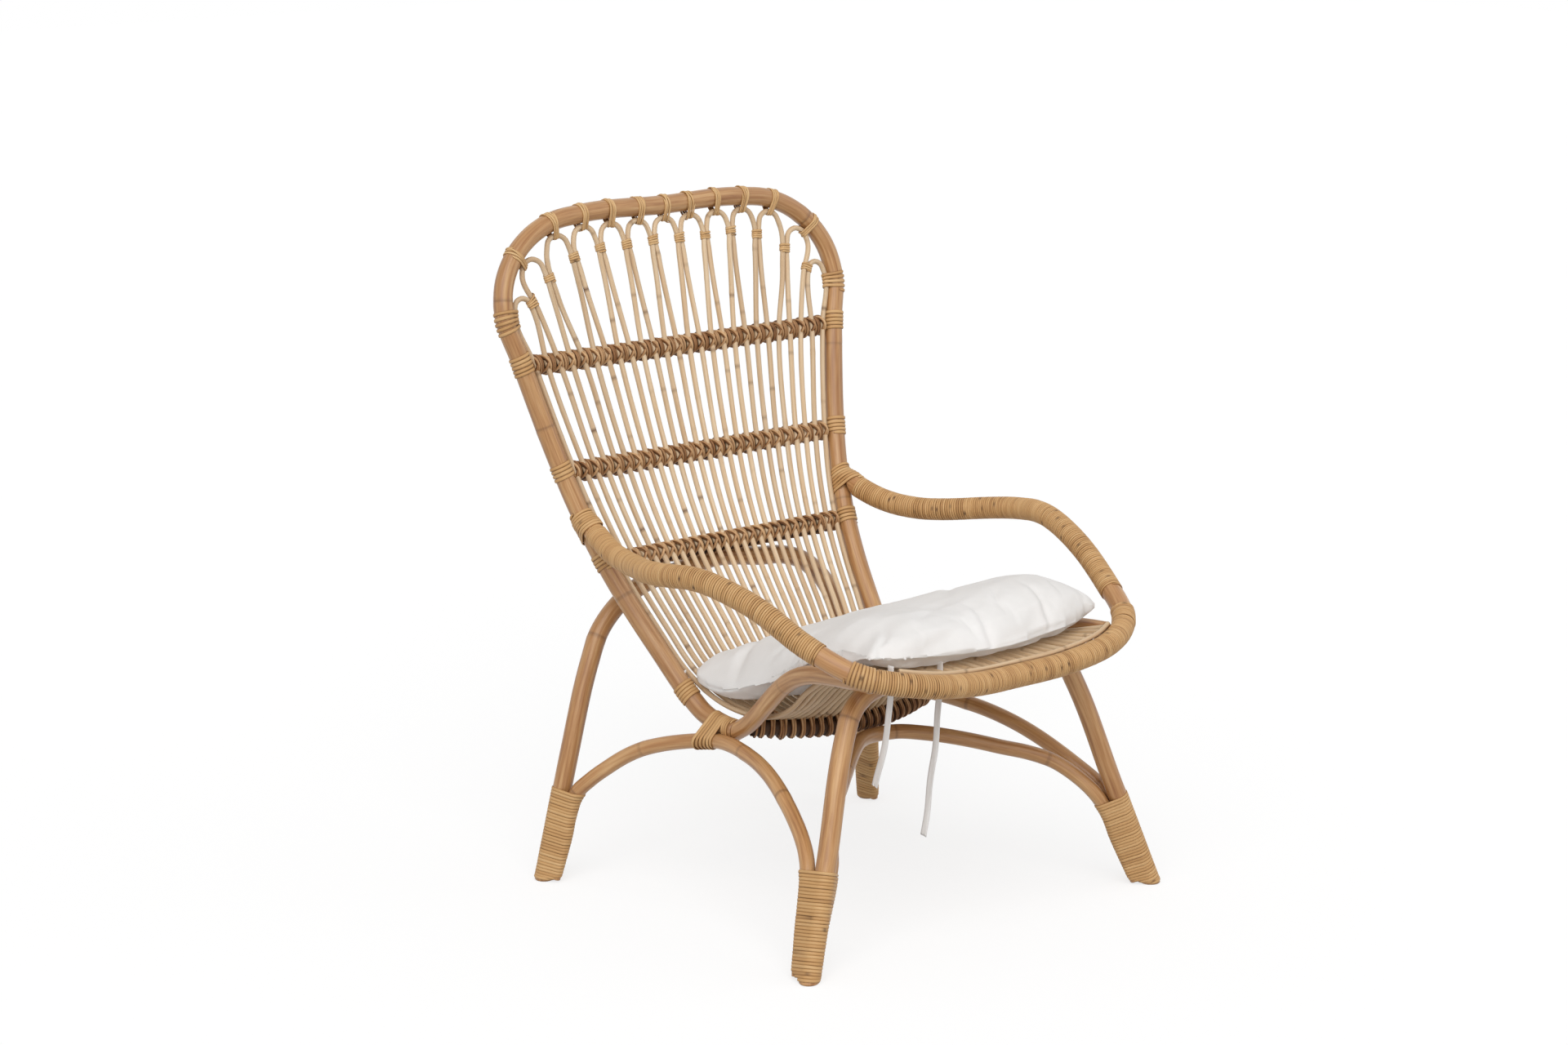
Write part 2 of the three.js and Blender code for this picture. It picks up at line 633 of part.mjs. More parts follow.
// Seat rails and cross bar
function seatRail(side) {
  const { axis, inward } = railAt(SEAT_RAIL_HALF + RAIL_RADIUS);
  const frontDepth = axis.y + (ARM_RADIUS + CLEARANCE) / inward.y;
  const front = point(SEAT_RAIL_HALF, frontDepth, SEAT_RAIL_END_HEIGHT);
  const foot = point(TAIL_WIDTH / 2, TAIL_DEPTH - CLEARANCE, TAIL_HEIGHT);
  const route = smooth([front, ...SEAT_RAIL_ROUTE.map((p) => sided(1, p)), foot], RAIL_STEPS);
  const stations = side > 0 ? route : route.map(mirrored);
  return new Pole(stations, SEAT_RAIL_DIAMETER, POLE_SIDES, ACROSS, { endAlong: BACKWARD });
}

const seatRails = { left: seatRail(SIDES.left), right: seatRail(SIDES.right) };
for (const [name, rail] of Object.entries(seatRails)) {
  addPiece(`seat_rail_${name}`, rail.geometry(), POLE_FINISH);
}

const crossBarEnd = seatRails.right.crossing(point(0, CROSS_BAR_END_DEPTH, 0), BACKWARD).centre.x
  - RAIL_RADIUS - 3 * CLEARANCE;

/** The cross bar's axis at a distance across. */
function crossBarAt(x) {
  const bulge = 1 - (x / crossBarEnd) ** 2;
  return point(x, CROSS_BAR_END_DEPTH - CROSS_BAR_BOW * bulge, CROSS_BAR_END_HEIGHT - CROSS_BAR_SAG * bulge);
}

const crossBar = new Pole(fractions(BAR_STEPS).map((t) => crossBarAt(between(-crossBarEnd, crossBarEnd, t))),
  CROSS_BAR_DIAMETER, ARCH_SIDES, UPWARD, { startAlong: ACROSS, endAlong: ACROSS });
addPiece('seat_cross_bar', crossBar.geometry(), POLE_FINISH);

// Arches, thinner at their tips, which stand beside the legs
const archTaper = (t) => {
  const tip = ARCH_TIP_DIAMETER / ARCH_DIAMETER;
  return Math.min(1, between(tip, 1, Math.min(t, 1 - t) / ARCH_TAPER_SHARE));
};

/** Stations of an arch's end beside a leg, from its tip up. */
function besideLeg(hoop, side, [x, y]) {
  return fractions(2).map((t) => {
    const z = between(ARCH_TIP_HEIGHT, ARCH_LEAVING_HEIGHT, t);
    const { centre, reach } = legAt(hoop, side, z);
    const thin = between(ARCH_TIP_DIAMETER / ARCH_DIAMETER, 1, t);
    const away = reach + (ARCH_RADIUS * thin * reach) / LEG_RADIUS + ARCH_GAP;
    return centre.add(point(side * x, y, 0).setLength(away));
  });
}

function sideArch(side) {
  const tail = backFrame.crossing(point(side * TAIL_WIDTH / 2, SIDE_ARCH_TOP_DEPTH, TAIL_HEIGHT), BACKWARD);
  const angle = radians(SIDE_ARCH_TOP_ANGLE);
  const outward = point(side * Math.cos(angle), 0, Math.sin(angle));
  const top = tail.centre.addScaledVector(outward, tail.reach + ARCH_RADIUS + ARCH_GAP);
  const route = [
    ...besideLeg(rearHoop, side, SIDE_ARCH_BESIDE_REAR),
    ...SIDE_ARCH_REAR.map((p) => sided(side, p)),
    top,
    ...SIDE_ARCH_FRONT.map((p) => sided(side, p)),
    ...besideLeg(frontHoop, side, SIDE_ARCH_BESIDE_FRONT).reverse(),
  ];
  return new Pole(smooth(route, ARCH_STEPS), ARCH_DIAMETER, ARCH_SIDES, ACROSS, { taper: archTaper });
}

function frontArchStations() {
  const away = lashedReach(CROSS_RADIUS) + ARCH_RADIUS + CLEARANCE;
  const top = crossBarAt(0).addScaledVector(slopeWay(FRONT_ARCH_TOP_ANGLE), away);
  const leg = besideLeg(frontHoop, 1, FRONT_ARCH_BESIDE);
  return smooth(wholeRoute([...leg, ...FRONT_ARCH_HALF.map((p) => sided(1, p)), top]), ARCH_STEPS);
}

const sideArches = { left: sideArch(SIDES.left), right: sideArch(SIDES.right) };
for (const [name, arch] of Object.entries(sideArches)) {
  addPiece(`side_arch_${name}`, arch.geometry(), POLE_FINISH);
}
const frontArch = new Pole(frontArchStations(), ARCH_DIAMETER, ARCH_SIDES, BACKWARD, { taper: archTaper });
addPiece('front_arch', frontArch.geometry(), POLE_FINISH);

function addFootWindings() {
  const addFoot = (name, hoop, side, poles) => {
    const [base, top] = [FOOT_WINDING_BASE, FOOT_WINDING_TOP].map((z) => legAt(hoop, side, z).centre);
    const bundle = new Bundle(poles, base, top, ACROSS);
    addWinding(`foot_winding_${name}`, bundle, 0, bundle.length, FOOT_TURNS, FOOT_STRIP);
  };
  for (const [name, side] of Object.entries(SIDES)) {
    addFoot(`front_${name}`, frontHoop, side, [frontHoop, sideArches[name], frontArch]);
    addFoot(`rear_${name}`, rearHoop, side, [rearHoop, sideArches[name]]);
  }
}
addFootWindings();

function addSeatBindings() {
  for (const [name, side] of Object.entries(SIDES)) {
    const tailAt = (y) => backFrame.crossing(point(side * TAIL_WIDTH / 2, y, TAIL_HEIGHT), BACKWARD).centre;
    const [start, end] = [SEAT_JOINT_START, SEAT_JOINT_END].map(tailAt);
    const joint = new Bundle([backFrame, sideArches[name]], start, end, ACROSS);
    addWinding(`seat_joint_binding_${name}`, joint, 0, joint.length, BINDING_TURNS, BINDING_STRIP);
    const low = backFrame.placeNear(backPoint(side, LOW_BINDING_HEIGHT));
    addBinding(`low_back_binding_${name}`, backFrame, low, BINDING_TURNS);
  }
}
addSeatBindings();

// Canes: each hairpin runs from the front rail over the seat, up the back, round its loop and down again
const laneX = (half, lane) => half * ((2 * lane) / (LANES - 1) - 1);
const backLaneHalf = (z) => backHalf(z) - woundReach(BACK_RADIUS) - CANE_RADIUS - LANE_MARGIN;

/** A cane's front end, set against the wound front rail. */
function caneFront(lane) {
  const { axis, inward } = railAt(laneX(FRONT_LANE_HALF, lane));
  const reach = woundReach(ARM_RADIUS) + 2 * CLEARANCE;
  const away = Math.sqrt(reach ** 2 - (CANE_END_RISE - CANE_RADIUS) ** 2);
  return axis.addScaledVector(inward, away).addScaledVector(UPWARD, CANE_END_RISE);
}

// Heights of the canes' middles over the front bar, over the cross bar, and between the two
const frontCaneHeight = FRONT_BAR_HEIGHT + LEG_RADIUS + CANE_RADIUS + 2 * CLEARANCE;
const crossCaneHeight = crossBarAt(0).z + CROSS_RADIUS + CANE_RADIUS + CLEARANCE;
const seatHeight = (share) => between(crossCaneHeight, frontCaneHeight, share);

/** One leg of a hairpin, from the front rail to the upper back bar. */
function legStations(lane) {
  const front = caneFront(lane);
  const bar = crossBarAt(laneX(CROSS_LANE_HALF, lane));
  const onSeat = ([y, z]) => {
    const share = (y - front.y) / (bar.y - front.y);
    return point(between(front.x, bar.x, share), y, z);
  };
  const inLane = (z) => onBack(laneX(backLaneHalf(z), lane), z);
  const pocketHalf = between(CROSS_LANE_HALF, backLaneHalf(BACK_STATIONS[0]), 0.5);
  return [
    front,
    onSeat([FRONT_BAR_DEPTH, frontCaneHeight]),
    ...SEAT_SLOPE.map(([y, share]) => onSeat([y, seatHeight(share)])),
    bar.addScaledVector(UPWARD, CROSS_RADIUS + CANE_RADIUS + CLEARANCE),
    point(laneX(pocketHalf, lane), POCKET_DEPTH, POCKET_HEIGHT),
    ...BACK_STATIONS.map(inLane),
    inLane(BAR_HEIGHTS.lower),
    inLane(BACK_MID_STATION),
    inLane(BAR_HEIGHTS.middle),
    inLane(BAR_HEIGHTS.upper),
  ];
}

/** The round ends of the hairpins, each as high as it fits under the back frame. */
function hairpinLoops() {
  const lanePitch = laneX(backLaneHalf(BAR_HEIGHTS.upper), 2) - laneX(backLaneHalf(BAR_HEIGHTS.upper), 0);
  const pitch = lanePitch * LOOP_SPREAD;
  const outermost = (HAIRPINS - 1) / 2;
  const fit = BACK_RADIUS + CANE_RADIUS + CLEARANCE;
  return fractions(HAIRPINS - 1).map((_, i) => {
    const outer = Math.abs(i - outermost) === outermost;
    const radius = outer ? OUTER_LOOP_RADIUS : (pitch - CANE_DIAMETER - PAIR_GAP) / 2;
    const reach = BACK_WIDTH / 2 - fit - LANE_MARGIN - radius;
    const centre = outer ? Math.sign(i - outermost) * reach : pitch * (i - outermost);
    const arcAt = (height, steps) => fractions(steps).map((t) => {
      const angle = Math.PI * (1 - t);
      return onBack(centre + radius * Math.cos(angle), height + radius * Math.sin(angle));
    });
    const room = (height) => Math.min(...arcAt(height, LANES).map((p) =>
      backFrame.axisAt(backFrame.placeNear(p)).distanceTo(p)));
    let height = outer ? BACK_WIDEST_HEIGHT : BAR_HEIGHTS.upper + LOOP_LEG;
    while (room(height + CLEARANCE) > fit) height += CLEARANCE;
    return { outer, height, arc: arcAt(height, LOOP_STEPS), pairPitch: lanePitch * PAIR_SPREAD };
  });
}

const onBack = (x, z) => point(x, lean(z), z);
const loops = hairpinLoops();

/** Where a leg of one hairpin lies beside a leg of the next, below their loops; an outer loop needs none. */
function pairStations(index, toward) {
  const [loop, next] = [loops[index], loops[index + toward]];
  if (loop.outer) return [];
  const beside = (CANE_DIAMETER + PAIR_GAP) / 2;
  if (next.outer) {
    return [onBack(next.arc.at(toward > 0 ? 0 : -1).x - 2 * toward * beside, next.height)];
  }
  const middle = loop.pairPitch * (index + toward / 2 - (HAIRPINS - 1) / 2);
  return [onBack(middle - toward * beside, Math.min(loop.height, next.height) - LOOP_LEG)];
}

const hairpins = fractions(HAIRPINS - 1).map((_, i) => {
  const loop = [...pairStations(i, -1), ...loops[i].arc, ...pairStations(i, 1)];
  const route = [...legStations(2 * i), ...loop, ...legStations(2 * i + 1).reverse()];
  return new Pole(route, CANE_DIAMETER, CANE_SIDES, DOWNWARD);
});
hairpins.forEach((cane, i) =>
  addPiece(`hairpin_cane_${String(i + 1).padStart(2, '0')}`, cane.geometry(), CANE_FINISH));

function addShoulderBindings() {
  const outer = { left: hairpins.at(0), right: hairpins.at(-1) };
  for (const [name, side] of Object.entries(SIDES)) {
    const half = (BINDING_TURNS * BINDING_PITCH + BINDING_STRIP) / 2;
    const [low, high] = [-half, half].map((dz) => backPoint(side, SHOULDER_BINDING_HEIGHT + dz));
    const pair = new Bundle([backFrame, outer[name]], low, high, ACROSS);
    addWinding(`shoulder_binding_${name}`, pair, 0, pair.length, BINDING_TURNS, BINDING_STRIP);
  }
}
addShoulderBindings();

function addEdgingCane() {
  const away = woundReach(ARM_RADIUS) + EDGING_RADIUS + CLEARANCE;
  const angle = radians(EDGING_ANGLE);
  const stations = fractions(BAR_STEPS).map((t) => {
    const { axis, inward } = railAt(between(-EDGING_HALF, EDGING_HALF, t));
    axis.addScaledVector(inward, away * Math.cos(angle));
    return axis.addScaledVector(UPWARD, away * Math.sin(angle));
  });
  const edging = new Pole(stations, EDGING_DIAMETER, ARCH_SIDES, DOWNWARD);
  addPiece('front_edging_cane', edging.geometry(), CANE_FINISH);
}
addEdgingCane();

/** A lashing along a bar: one loop for each hairpin, over its two legs and round the bar beside them. */
function addLashing(name, laneHalf, barRadius, rise, frameAt) {
  const lane = (index) => laneX(laneHalf, index);
  const gap = lane(1) - lane(0) - CANE_DIAMETER;
  const diameter = Math.min(LASHING_DIAMETER, LASHING_WIDTH_SHARE * gap);
  const shift = LASHING_SHIFT_SHARE * gap;
  const front = barRadius + CANE_DIAMETER + 2 * CLEARANCE + rise;
  const support = (k) => {
    const angle = (2 * Math.PI * k) / LASHING_SIDES;
    const flank = front * Math.cos(angle) + diameter * Math.abs(Math.sin(angle));
    return Math.max(barRadius + CLEARANCE, flank) + diameter / 2;
  };
  const stations = [];
  for (let i = 0; i < HAIRPINS; i++) {
    const first = i === 0 ? lane(0) : (lane(2 * i - 1) + lane(2 * i)) / 2 + shift;
    const middle = (lane(2 * i + 1) + lane(2 * i + 2)) / 2;
    const round = fractions(LASHING_SIDES - 1).slice(0, -1).map((t) => middle + (2 * t - 1) * shift);
    const places = i === HAIRPINS - 1 ? [first, lane(LANES - 1)] : [first, ...round];
    places.forEach((x, step) => {
      const k = (step + LASHING_SIDES - 1) % LASHING_SIDES;
      const { centre, toCanes, beside } = frameAt(x);
      const [out, over] = supportCorner(support(k), support(k + 1), k, LASHING_SIDES);
      stations.push(centre.clone().addScaledVector(toCanes, out).addScaledVector(beside, over));
    });
  }
  const cord = new Pole(stations, diameter, LASHING_CORD_SIDES, frameAt(0).toCanes);
  addPiece(name, cord.geometry(), LASHING_FINISH);
  const corners = Array.from({ length: LASHING_CORD_SIDES }, (_, k) => k);
  reportGap(name, stations.map((_, i) => corners.map((k) => cord.corner(i, k))), LASHING_SIDES);
}

function addLashings() {
  for (const [name, z] of Object.entries(BAR_HEIGHTS)) {
    const toCanes = behind(z).negate();
    const beside = ACROSS.clone().cross(behind(z));
    const frameAt = (x) => ({ centre: backBarCentre(z).setX(x), toCanes, beside });
    addLashing(`back_lashing_${name}`, backLaneHalf(z), BAR_RADIUS, 0, frameAt);
  }
  const toCanes = slopeWay(90 - SEAT_LASHING_TILT);
  const beside = ACROSS.clone().cross(toCanes).negate();
  const frameAt = (x) => ({ centre: crossBarAt(x), toCanes, beside });
  const slanted = CROSS_RADIUS * Math.hypot(1, (2 * CROSS_BAR_BOW) / crossBarEnd);
  addLashing('seat_lashing', CROSS_LANE_HALF, slanted, SEAT_LASHING_RISE, frameAt);
}
addLashings();

// Cushion: a crowned pad whose two faces meet in a seam
function profile(outline) {
  const samples = smooth(outline.map(([y, z]) => point(0, y, z)), LANES * POLE_SIDES);
  return (y) => {
    const i = Math.max(1, samples.findIndex((p) => p.y >= y));
    const [a, b] = [samples[i - 1], samples[i]];
    return between(a.z, b.z, (y - a.y) / (b.y - a.y));
  };
}

/** How high the seat rails' tops reach under a spot of the cushion. */
function railTopUnder(x, y) {
  const rail = seatRails.right.crossing(point(0, y, 0), BACKWARD);
  const beside = rail && Math.abs(x) > rail.centre.x - RAIL_RADIUS - CUSHION_RAIL_MARGIN;
  return beside ? rail.centre.z + rail.reach : -Infinity;
}

function cushionGeometry() {
  const [front, back] = [CUSHION_TOP[0], CUSHION_TOP.at(-1)];
  const caneTop = frontCaneHeight + CANE_RADIUS + CLEARANCE;
  const caneEnd = caneFront((LANES - 1) / 2);
  const rising = (FRONT_BAR_DEPTH - CUSHION_TOP[1][0]) / (FRONT_BAR_DEPTH - caneEnd.y);
  const frontRise = CUSHION_FRONT_RISE + rising * (caneEnd.z - frontCaneHeight);
  const slope = SEAT_SLOPE.map(([y, share]) => [y, seatHeight(share) + CUSHION_SLOPE_RISE]);
  const pocket = CUSHION_POCKET_RISE.map(([y, rise]) => [y, POCKET_HEIGHT + rise]);
  const seat = [front, [CUSHION_TOP[1][0], caneTop + frontRise], [FRONT_BAR_DEPTH, caneTop],
    ...slope, ...pocket, back];
  const [topAt, seatAt] = [profile(CUSHION_TOP), profile(seat)];
  const corners = [];
  const faces = [];
  const rim = (u, v) => Math.abs(u) === 1 || Math.abs(v) === 1;
  const spot = (u, v, upper) => {
    const nominal = between(front[0], back[0], (v + 1) / 2);
    const rounding = between(CUSHION_FRONT_ROUNDING, CUSHION_BACK_ROUNDING, (v + 1) / 2);
    const y = between(front[0], back[0], (v * Math.sqrt(1 - rounding * u * u) + 1) / 2);
    const half = between(CUSHION_FRONT_HALF, CUSHION_BACK_HALF, (v + 1) / 2) - CUSHION_WAIST * (1 - v * v);
    const x = half * u * Math.sqrt(1 - rounding * v * v);
    const seam = (topAt(nominal) + seatAt(nominal)) / 2;
    const face = upper ? topAt(nominal) : seatAt(nominal);
    const power = upper ? CUSHION_TOP_FULLNESS : CUSHION_UNDERSIDE_FULLNESS;
    const fullness = Math.sqrt(1 - Math.abs(u) ** power);
    const least = railTopUnder(x, y) + (upper && !rim(u, v) ? CUSHION_LEAST_THICKNESS : CUSHION_RAIL_GAP);
    return point(x, y, Math.max(least, between(seam, face, fullness)));
  };
  const index = new Map();
  const corner = (i, j, upper) => {
    const [u, v] = [i / CUSHION_COLUMNS, j / CUSHION_ROWS].map((t) => -Math.cos(t * Math.PI));
    const key = `${i} ${j} ${upper && !rim(u, v)}`;
    if (!index.has(key)) {
      index.set(key, corners.length);
      corners.push(spot(u, v, upper));
    }
    return index.get(key);
  };
  for (let i = 0; i < CUSHION_COLUMNS; i++) {
    for (let j = 0; j < CUSHION_ROWS; j++) {
      for (const upper of [true, false]) {
        const cell = [[i, j], [i + 1, j], [i + 1, j + 1], [i, j + 1]];
        const [a, b, c, d] = cell.map(([column, row]) => corner(column, row, upper));
        faces.push(...(upper ? [[a, b, c], [a, c, d]] : [[a, c, b], [a, d, c]]));
      }
    }
  }
  return solidFrom(corners, faces);
}
const cushion = cushionGeometry();
addPiece('cushion', cushion, CUSHION_FINISH);

/** The height of the cushion's underside above a spot on the floor. */
function undersideAt(x, y) {
  const ray = new THREE.Raycaster(point(x, y, 0), UPWARD);
  return ray.intersectObject(new THREE.Mesh(cushion))[0].point.z;
}

// The chair stands on the middle of its own floor plan; the ties don't count toward it
const extent = new THREE.Box3().setFromObject(chair);
chair.position.y = -(extent.min.y + extent.max.y) / 2;

for (const [name, route] of Object.entries({ first: FIRST_TIE, second: SECOND_TIE })) {
  const stations = route.map((p) => sided(1, p));
  const [first] = stations;
  const edges = [-0.5, 0.5].map((share) => first.y + share * TIE_WIDTH);
  first.z = Math.min(...edges.map((y) => undersideAt(first.x, y))) - TIE_TOP_GAP;
  const tie = new Ribbon(stations, TIE_WIDTH, POLE_SIDES, BACKWARD);
  addPiece(`tie_${name}`, tie.geometry(), CUSHION_FINISH);
}

export default chair;
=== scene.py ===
"""Looks of a high-backed rattan lounge chair: poles, canes, split-cane windings, lashings and a cushion."""
import math
import random

import bmesh
import bpy
import numpy as np
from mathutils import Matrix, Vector, noise


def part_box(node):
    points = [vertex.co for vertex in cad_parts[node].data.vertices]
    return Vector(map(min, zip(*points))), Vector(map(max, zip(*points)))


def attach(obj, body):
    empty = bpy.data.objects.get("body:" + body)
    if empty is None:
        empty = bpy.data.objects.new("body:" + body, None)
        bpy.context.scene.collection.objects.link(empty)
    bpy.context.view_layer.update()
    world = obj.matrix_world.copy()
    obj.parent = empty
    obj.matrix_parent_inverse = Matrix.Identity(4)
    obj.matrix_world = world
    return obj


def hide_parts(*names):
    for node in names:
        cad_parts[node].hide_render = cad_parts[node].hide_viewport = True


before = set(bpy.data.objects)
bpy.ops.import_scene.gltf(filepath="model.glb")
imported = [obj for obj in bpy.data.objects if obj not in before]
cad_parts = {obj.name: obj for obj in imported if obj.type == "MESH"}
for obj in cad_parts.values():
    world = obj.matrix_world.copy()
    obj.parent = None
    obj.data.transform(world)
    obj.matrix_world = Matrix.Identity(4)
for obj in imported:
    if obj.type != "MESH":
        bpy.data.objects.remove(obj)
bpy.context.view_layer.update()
scene = bpy.context.scene

# Camera: the photograph's viewing point, moved by the shift that centres the chair
SHIFT_Y = -0.02556
CAMERA_PLACE = Vector((-3.7146, -4.0767 + SHIFT_Y, 1.7730))
CAMERA_TARGET = Vector((0.0, 0.1412 + SHIFT_Y, 0.5496))
CAMERA_LENS = 85
CAMERA_SENSOR = 36

# Ties: flat ribbons, their section in shares, and their routes in millimetres
TIE_WIDTH = 0.012
TIE_THICKNESS = 0.0014
TIE_STEP = 0.004
TIE_CURL = 0.0012
TIE_CURL_RATE = 60
TIE_CURL_START = 0.05
TIE_OUTLINE = ((-0.5, -0.3), (-0.5, 0.3), (-0.25, 0.5), (0.0, 0.42), (0.25, 0.5), (0.5, 0.3),
               (0.5, -0.3), (0.25, -0.5), (0.0, -0.42), (-0.25, -0.5))
TIES = {
    "first": (-200.4, [
        (-318, 442.6), (-318, 421), (-317.5, 400), (-317, 388), (-316, 376), (-314.5, 364), (-312.5, 352),
        (-310, 340), (-307, 328), (-304, 316), (-300.5, 304), (-297, 292), (-293.5, 280), (-290, 268),
        (-286.5, 256),
    ]),
    "second": (-102.8, [
        (-318, 433.2), (-318, 411), (-317.5, 390), (-316.5, 371), (-315, 352), (-313, 333), (-310.5, 314),
        (-308, 295), (-305, 276), (-302, 257), (-299, 238), (-296, 219), (-293, 200), (-290, 181),
        (-287, 162),
    ]),
}

# Poles and canes: the sides of their CAD tubes, and how finely the round ones are drawn
POLE_NODES = {
    "back_frame": 8, "arm_and_front_rail": 8, "front_leg_hoop": 8, "rear_leg_hoop": 8, "seat_rail_left": 8,
    "seat_rail_right": 8, "seat_cross_bar": 6, "side_arch_left": 6, "side_arch_right": 6, "front_arch": 6,
    "back_bar_upper": 8, "back_bar_middle": 8, "back_bar_lower": 8,
}
HAIRPINS = [f"hairpin_cane_{i:02d}" for i in range(1, 14)]
CANE_SIDES = 5
EDGING_SIDES = 6
POLE_STEP = 0.003
POLE_ROUND = 24
CANE_STEP = 0.005
CANE_ROUND = 10
SIDES = ("left", "right")
HEIGHTS = ("upper", "middle", "lower")


def unit(v):
    return v / np.linalg.norm(v, axis=-1, keepdims=True)


def reach_of(points):
    """Distances along a line of points, from its start."""
    return np.concatenate([[0.0], np.cumsum(np.linalg.norm(np.diff(points, axis=0), axis=1))])


def picked(places, along, rows):
    """Rows of values at places along a line."""
    return np.column_stack([np.interp(places, along, rows[:, k]) for k in range(rows.shape[1])])


def turned(angles, start, quarter):
    """Directions at angles from a start, with another direction a quarter turn on."""
    return np.cos(angles)[:, None] * start + np.sin(angles)[:, None] * quarter


def square_to(ways, directions):
    """Directions with what runs along a line taken out of them."""
    return unit(directions - (directions * ways).sum(-1, keepdims=True) * ways)


def closest(some, others):
    """The places at which two lines of points come nearest to each other."""
    gaps = np.linalg.norm(some[:, None] - others[None], axis=2)
    return np.unravel_index(gaps.argmin(), gaps.shape)


def bell(offsets, width):
    return np.exp(-((offsets / width) ** 2))


def eased(values, low, high):
    """From 0 at low to 1 at high, with soft ends."""
    share = np.clip((values - low) / (high - low), 0, 1)
    return share * share * (3 - 2 * share)


def wavering(places, period, seed):
    """Smooth random values from -1 to 1 along a line."""
    return np.array([noise.noise((s / period, seed, 0.5)) for s in places])


def stored(items, field, kind=float):
    """A row of three values for each item in one of a mesh's lists."""
    values = np.empty(len(items) * 3, kind)
    items.foreach_get(field, values)
    return values.reshape(-1, 3)


def placed(name, data):
    """A new object in the scene."""
    obj = bpy.data.objects.new(name, data)
    scene.collection.objects.link(obj)
    return obj


# Reading the CAD tubes
CORNER_DIGITS = 6
ONE_PLANE = 0.99995
ROUND_ENOUGH = 0.6


def welded(node):
    """A CAD node's corners and triangles, with the copies of each corner joined."""
    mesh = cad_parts[node].data
    corners = np.round(stored(mesh.vertices, "co"), CORNER_DIGITS)
    points, index = np.unique(corners, axis=0, return_inverse=True)
    mesh.calc_loop_triangles()
    return points, index.reshape(-1)[stored(mesh.loop_triangles, "vertices", int)]


def end_faces(points, triangles, sides):
    """A tube's two ends: groups of triangles in one plane whose outline is a near-regular polygon."""
    a, b, c = (points[triangles[:, k]] for k in range(3))
    normals = unit(np.cross(b - a, c - a) + 1e-15)
    by_edge = {}
    for t, tri in enumerate(triangles):
        for k in range(3):
            by_edge.setdefault(frozenset((tri[k], tri[k - 1])), []).append(t)
    leader = list(range(len(triangles)))

    def first(t):
        while leader[t] != t:
            t = leader[t]
        return t

    for pair in by_edge.values():
        if len(pair) == 2 and normals[pair[0]] @ normals[pair[1]] > ONE_PLANE:
            leader[first(pair[0])] = first(pair[1])
    rims = {}
    for edge, pair in by_edge.items():
        groups = [first(t) for t in pair]
        for group in groups:
            if groups.count(group) == 1:
                rims.setdefault(group, set()).update(edge)
    found = []
    for group, rim in rims.items():
        corners = points[sorted(rim)]
        spread = np.linalg.norm(corners - corners.mean(0), axis=1)
        if len(rim) == sides and spread.min() > ROUND_ENOUGH * spread.max():
            found.append((tuple(np.round(corners.mean(0), 4)), rim, normals[group]))
    return sorted(found, key=lambda face: face[0])


def tube_rings(node, sides):
    """Ring centres, radii and end normals of a CAD tube, from its end with the lower x to the other."""
    points, triangles = welded(node)
    (_, start, start_normal), (_, _, end_normal) = end_faces(points, triangles, sides)
    near = {}
    for tri in triangles:
        for v in tri:
            near.setdefault(v, set()).update(tri)
    rings = [set(start)]
    seen = set(start)
    while True:
        ring = {n for v in rings[-1] for n in near[v]} - seen
        if len(ring) < sides:
            break
        seen |= ring
        rings.append(ring)
    centres = np.array([points[sorted(ring)].mean(0) for ring in rings])
    ways = unit(np.gradient(centres, axis=0))
    radii = []
    for ring, centre, way in zip(rings, centres, ways):
        off = points[sorted(ring)] - centre
        radii.append(np.linalg.norm(off - np.outer(off @ way, way), axis=1).max())
    return centres, np.array(radii), (start_normal, end_normal)


def smooth_line(points, step):
    """Even points on the smooth curve through the given ones, and the chord length at each."""
    reach = reach_of(points)
    slope = np.gradient(points, reach, axis=0)
    fine = np.linspace(0, reach[-1], 4 * int(reach[-1] / step) + 8)
    i = np.clip(np.searchsorted(reach, fine, side="right") - 1, 0, len(reach) - 2)
    h = (reach[i + 1] - reach[i])[:, None]
    t = (fine - reach[i])[:, None] / h
    curve = ((2 * t**3 - 3 * t**2 + 1) * points[i] + (t**3 - 2 * t**2 + t) * h * slope[i]
             + (3 * t**2 - 2 * t**3) * points[i + 1] + (t**3 - t**2) * h * slope[i + 1])
    along = reach_of(curve)
    even = np.linspace(0, along[-1], int(round(along[-1] / step)) + 1)
    return picked(even, along, curve), np.interp(even, along, fine)


def transported(ways):
    """A direction square to a line at each of its points, turning as little as it can."""
    hint = np.eye(3)[np.argmin(np.abs(ways[0]))]
    out = np.empty_like(ways)
    for i, way in enumerate(ways):
        hint = hint - way * (hint @ way)
        hint = hint / np.linalg.norm(hint)
        out[i] = hint
    return out


# How far off and how slanting a pole in a bundle may be
BUNDLE_REACH = 0.07
LEAST_COSINE = 0.5


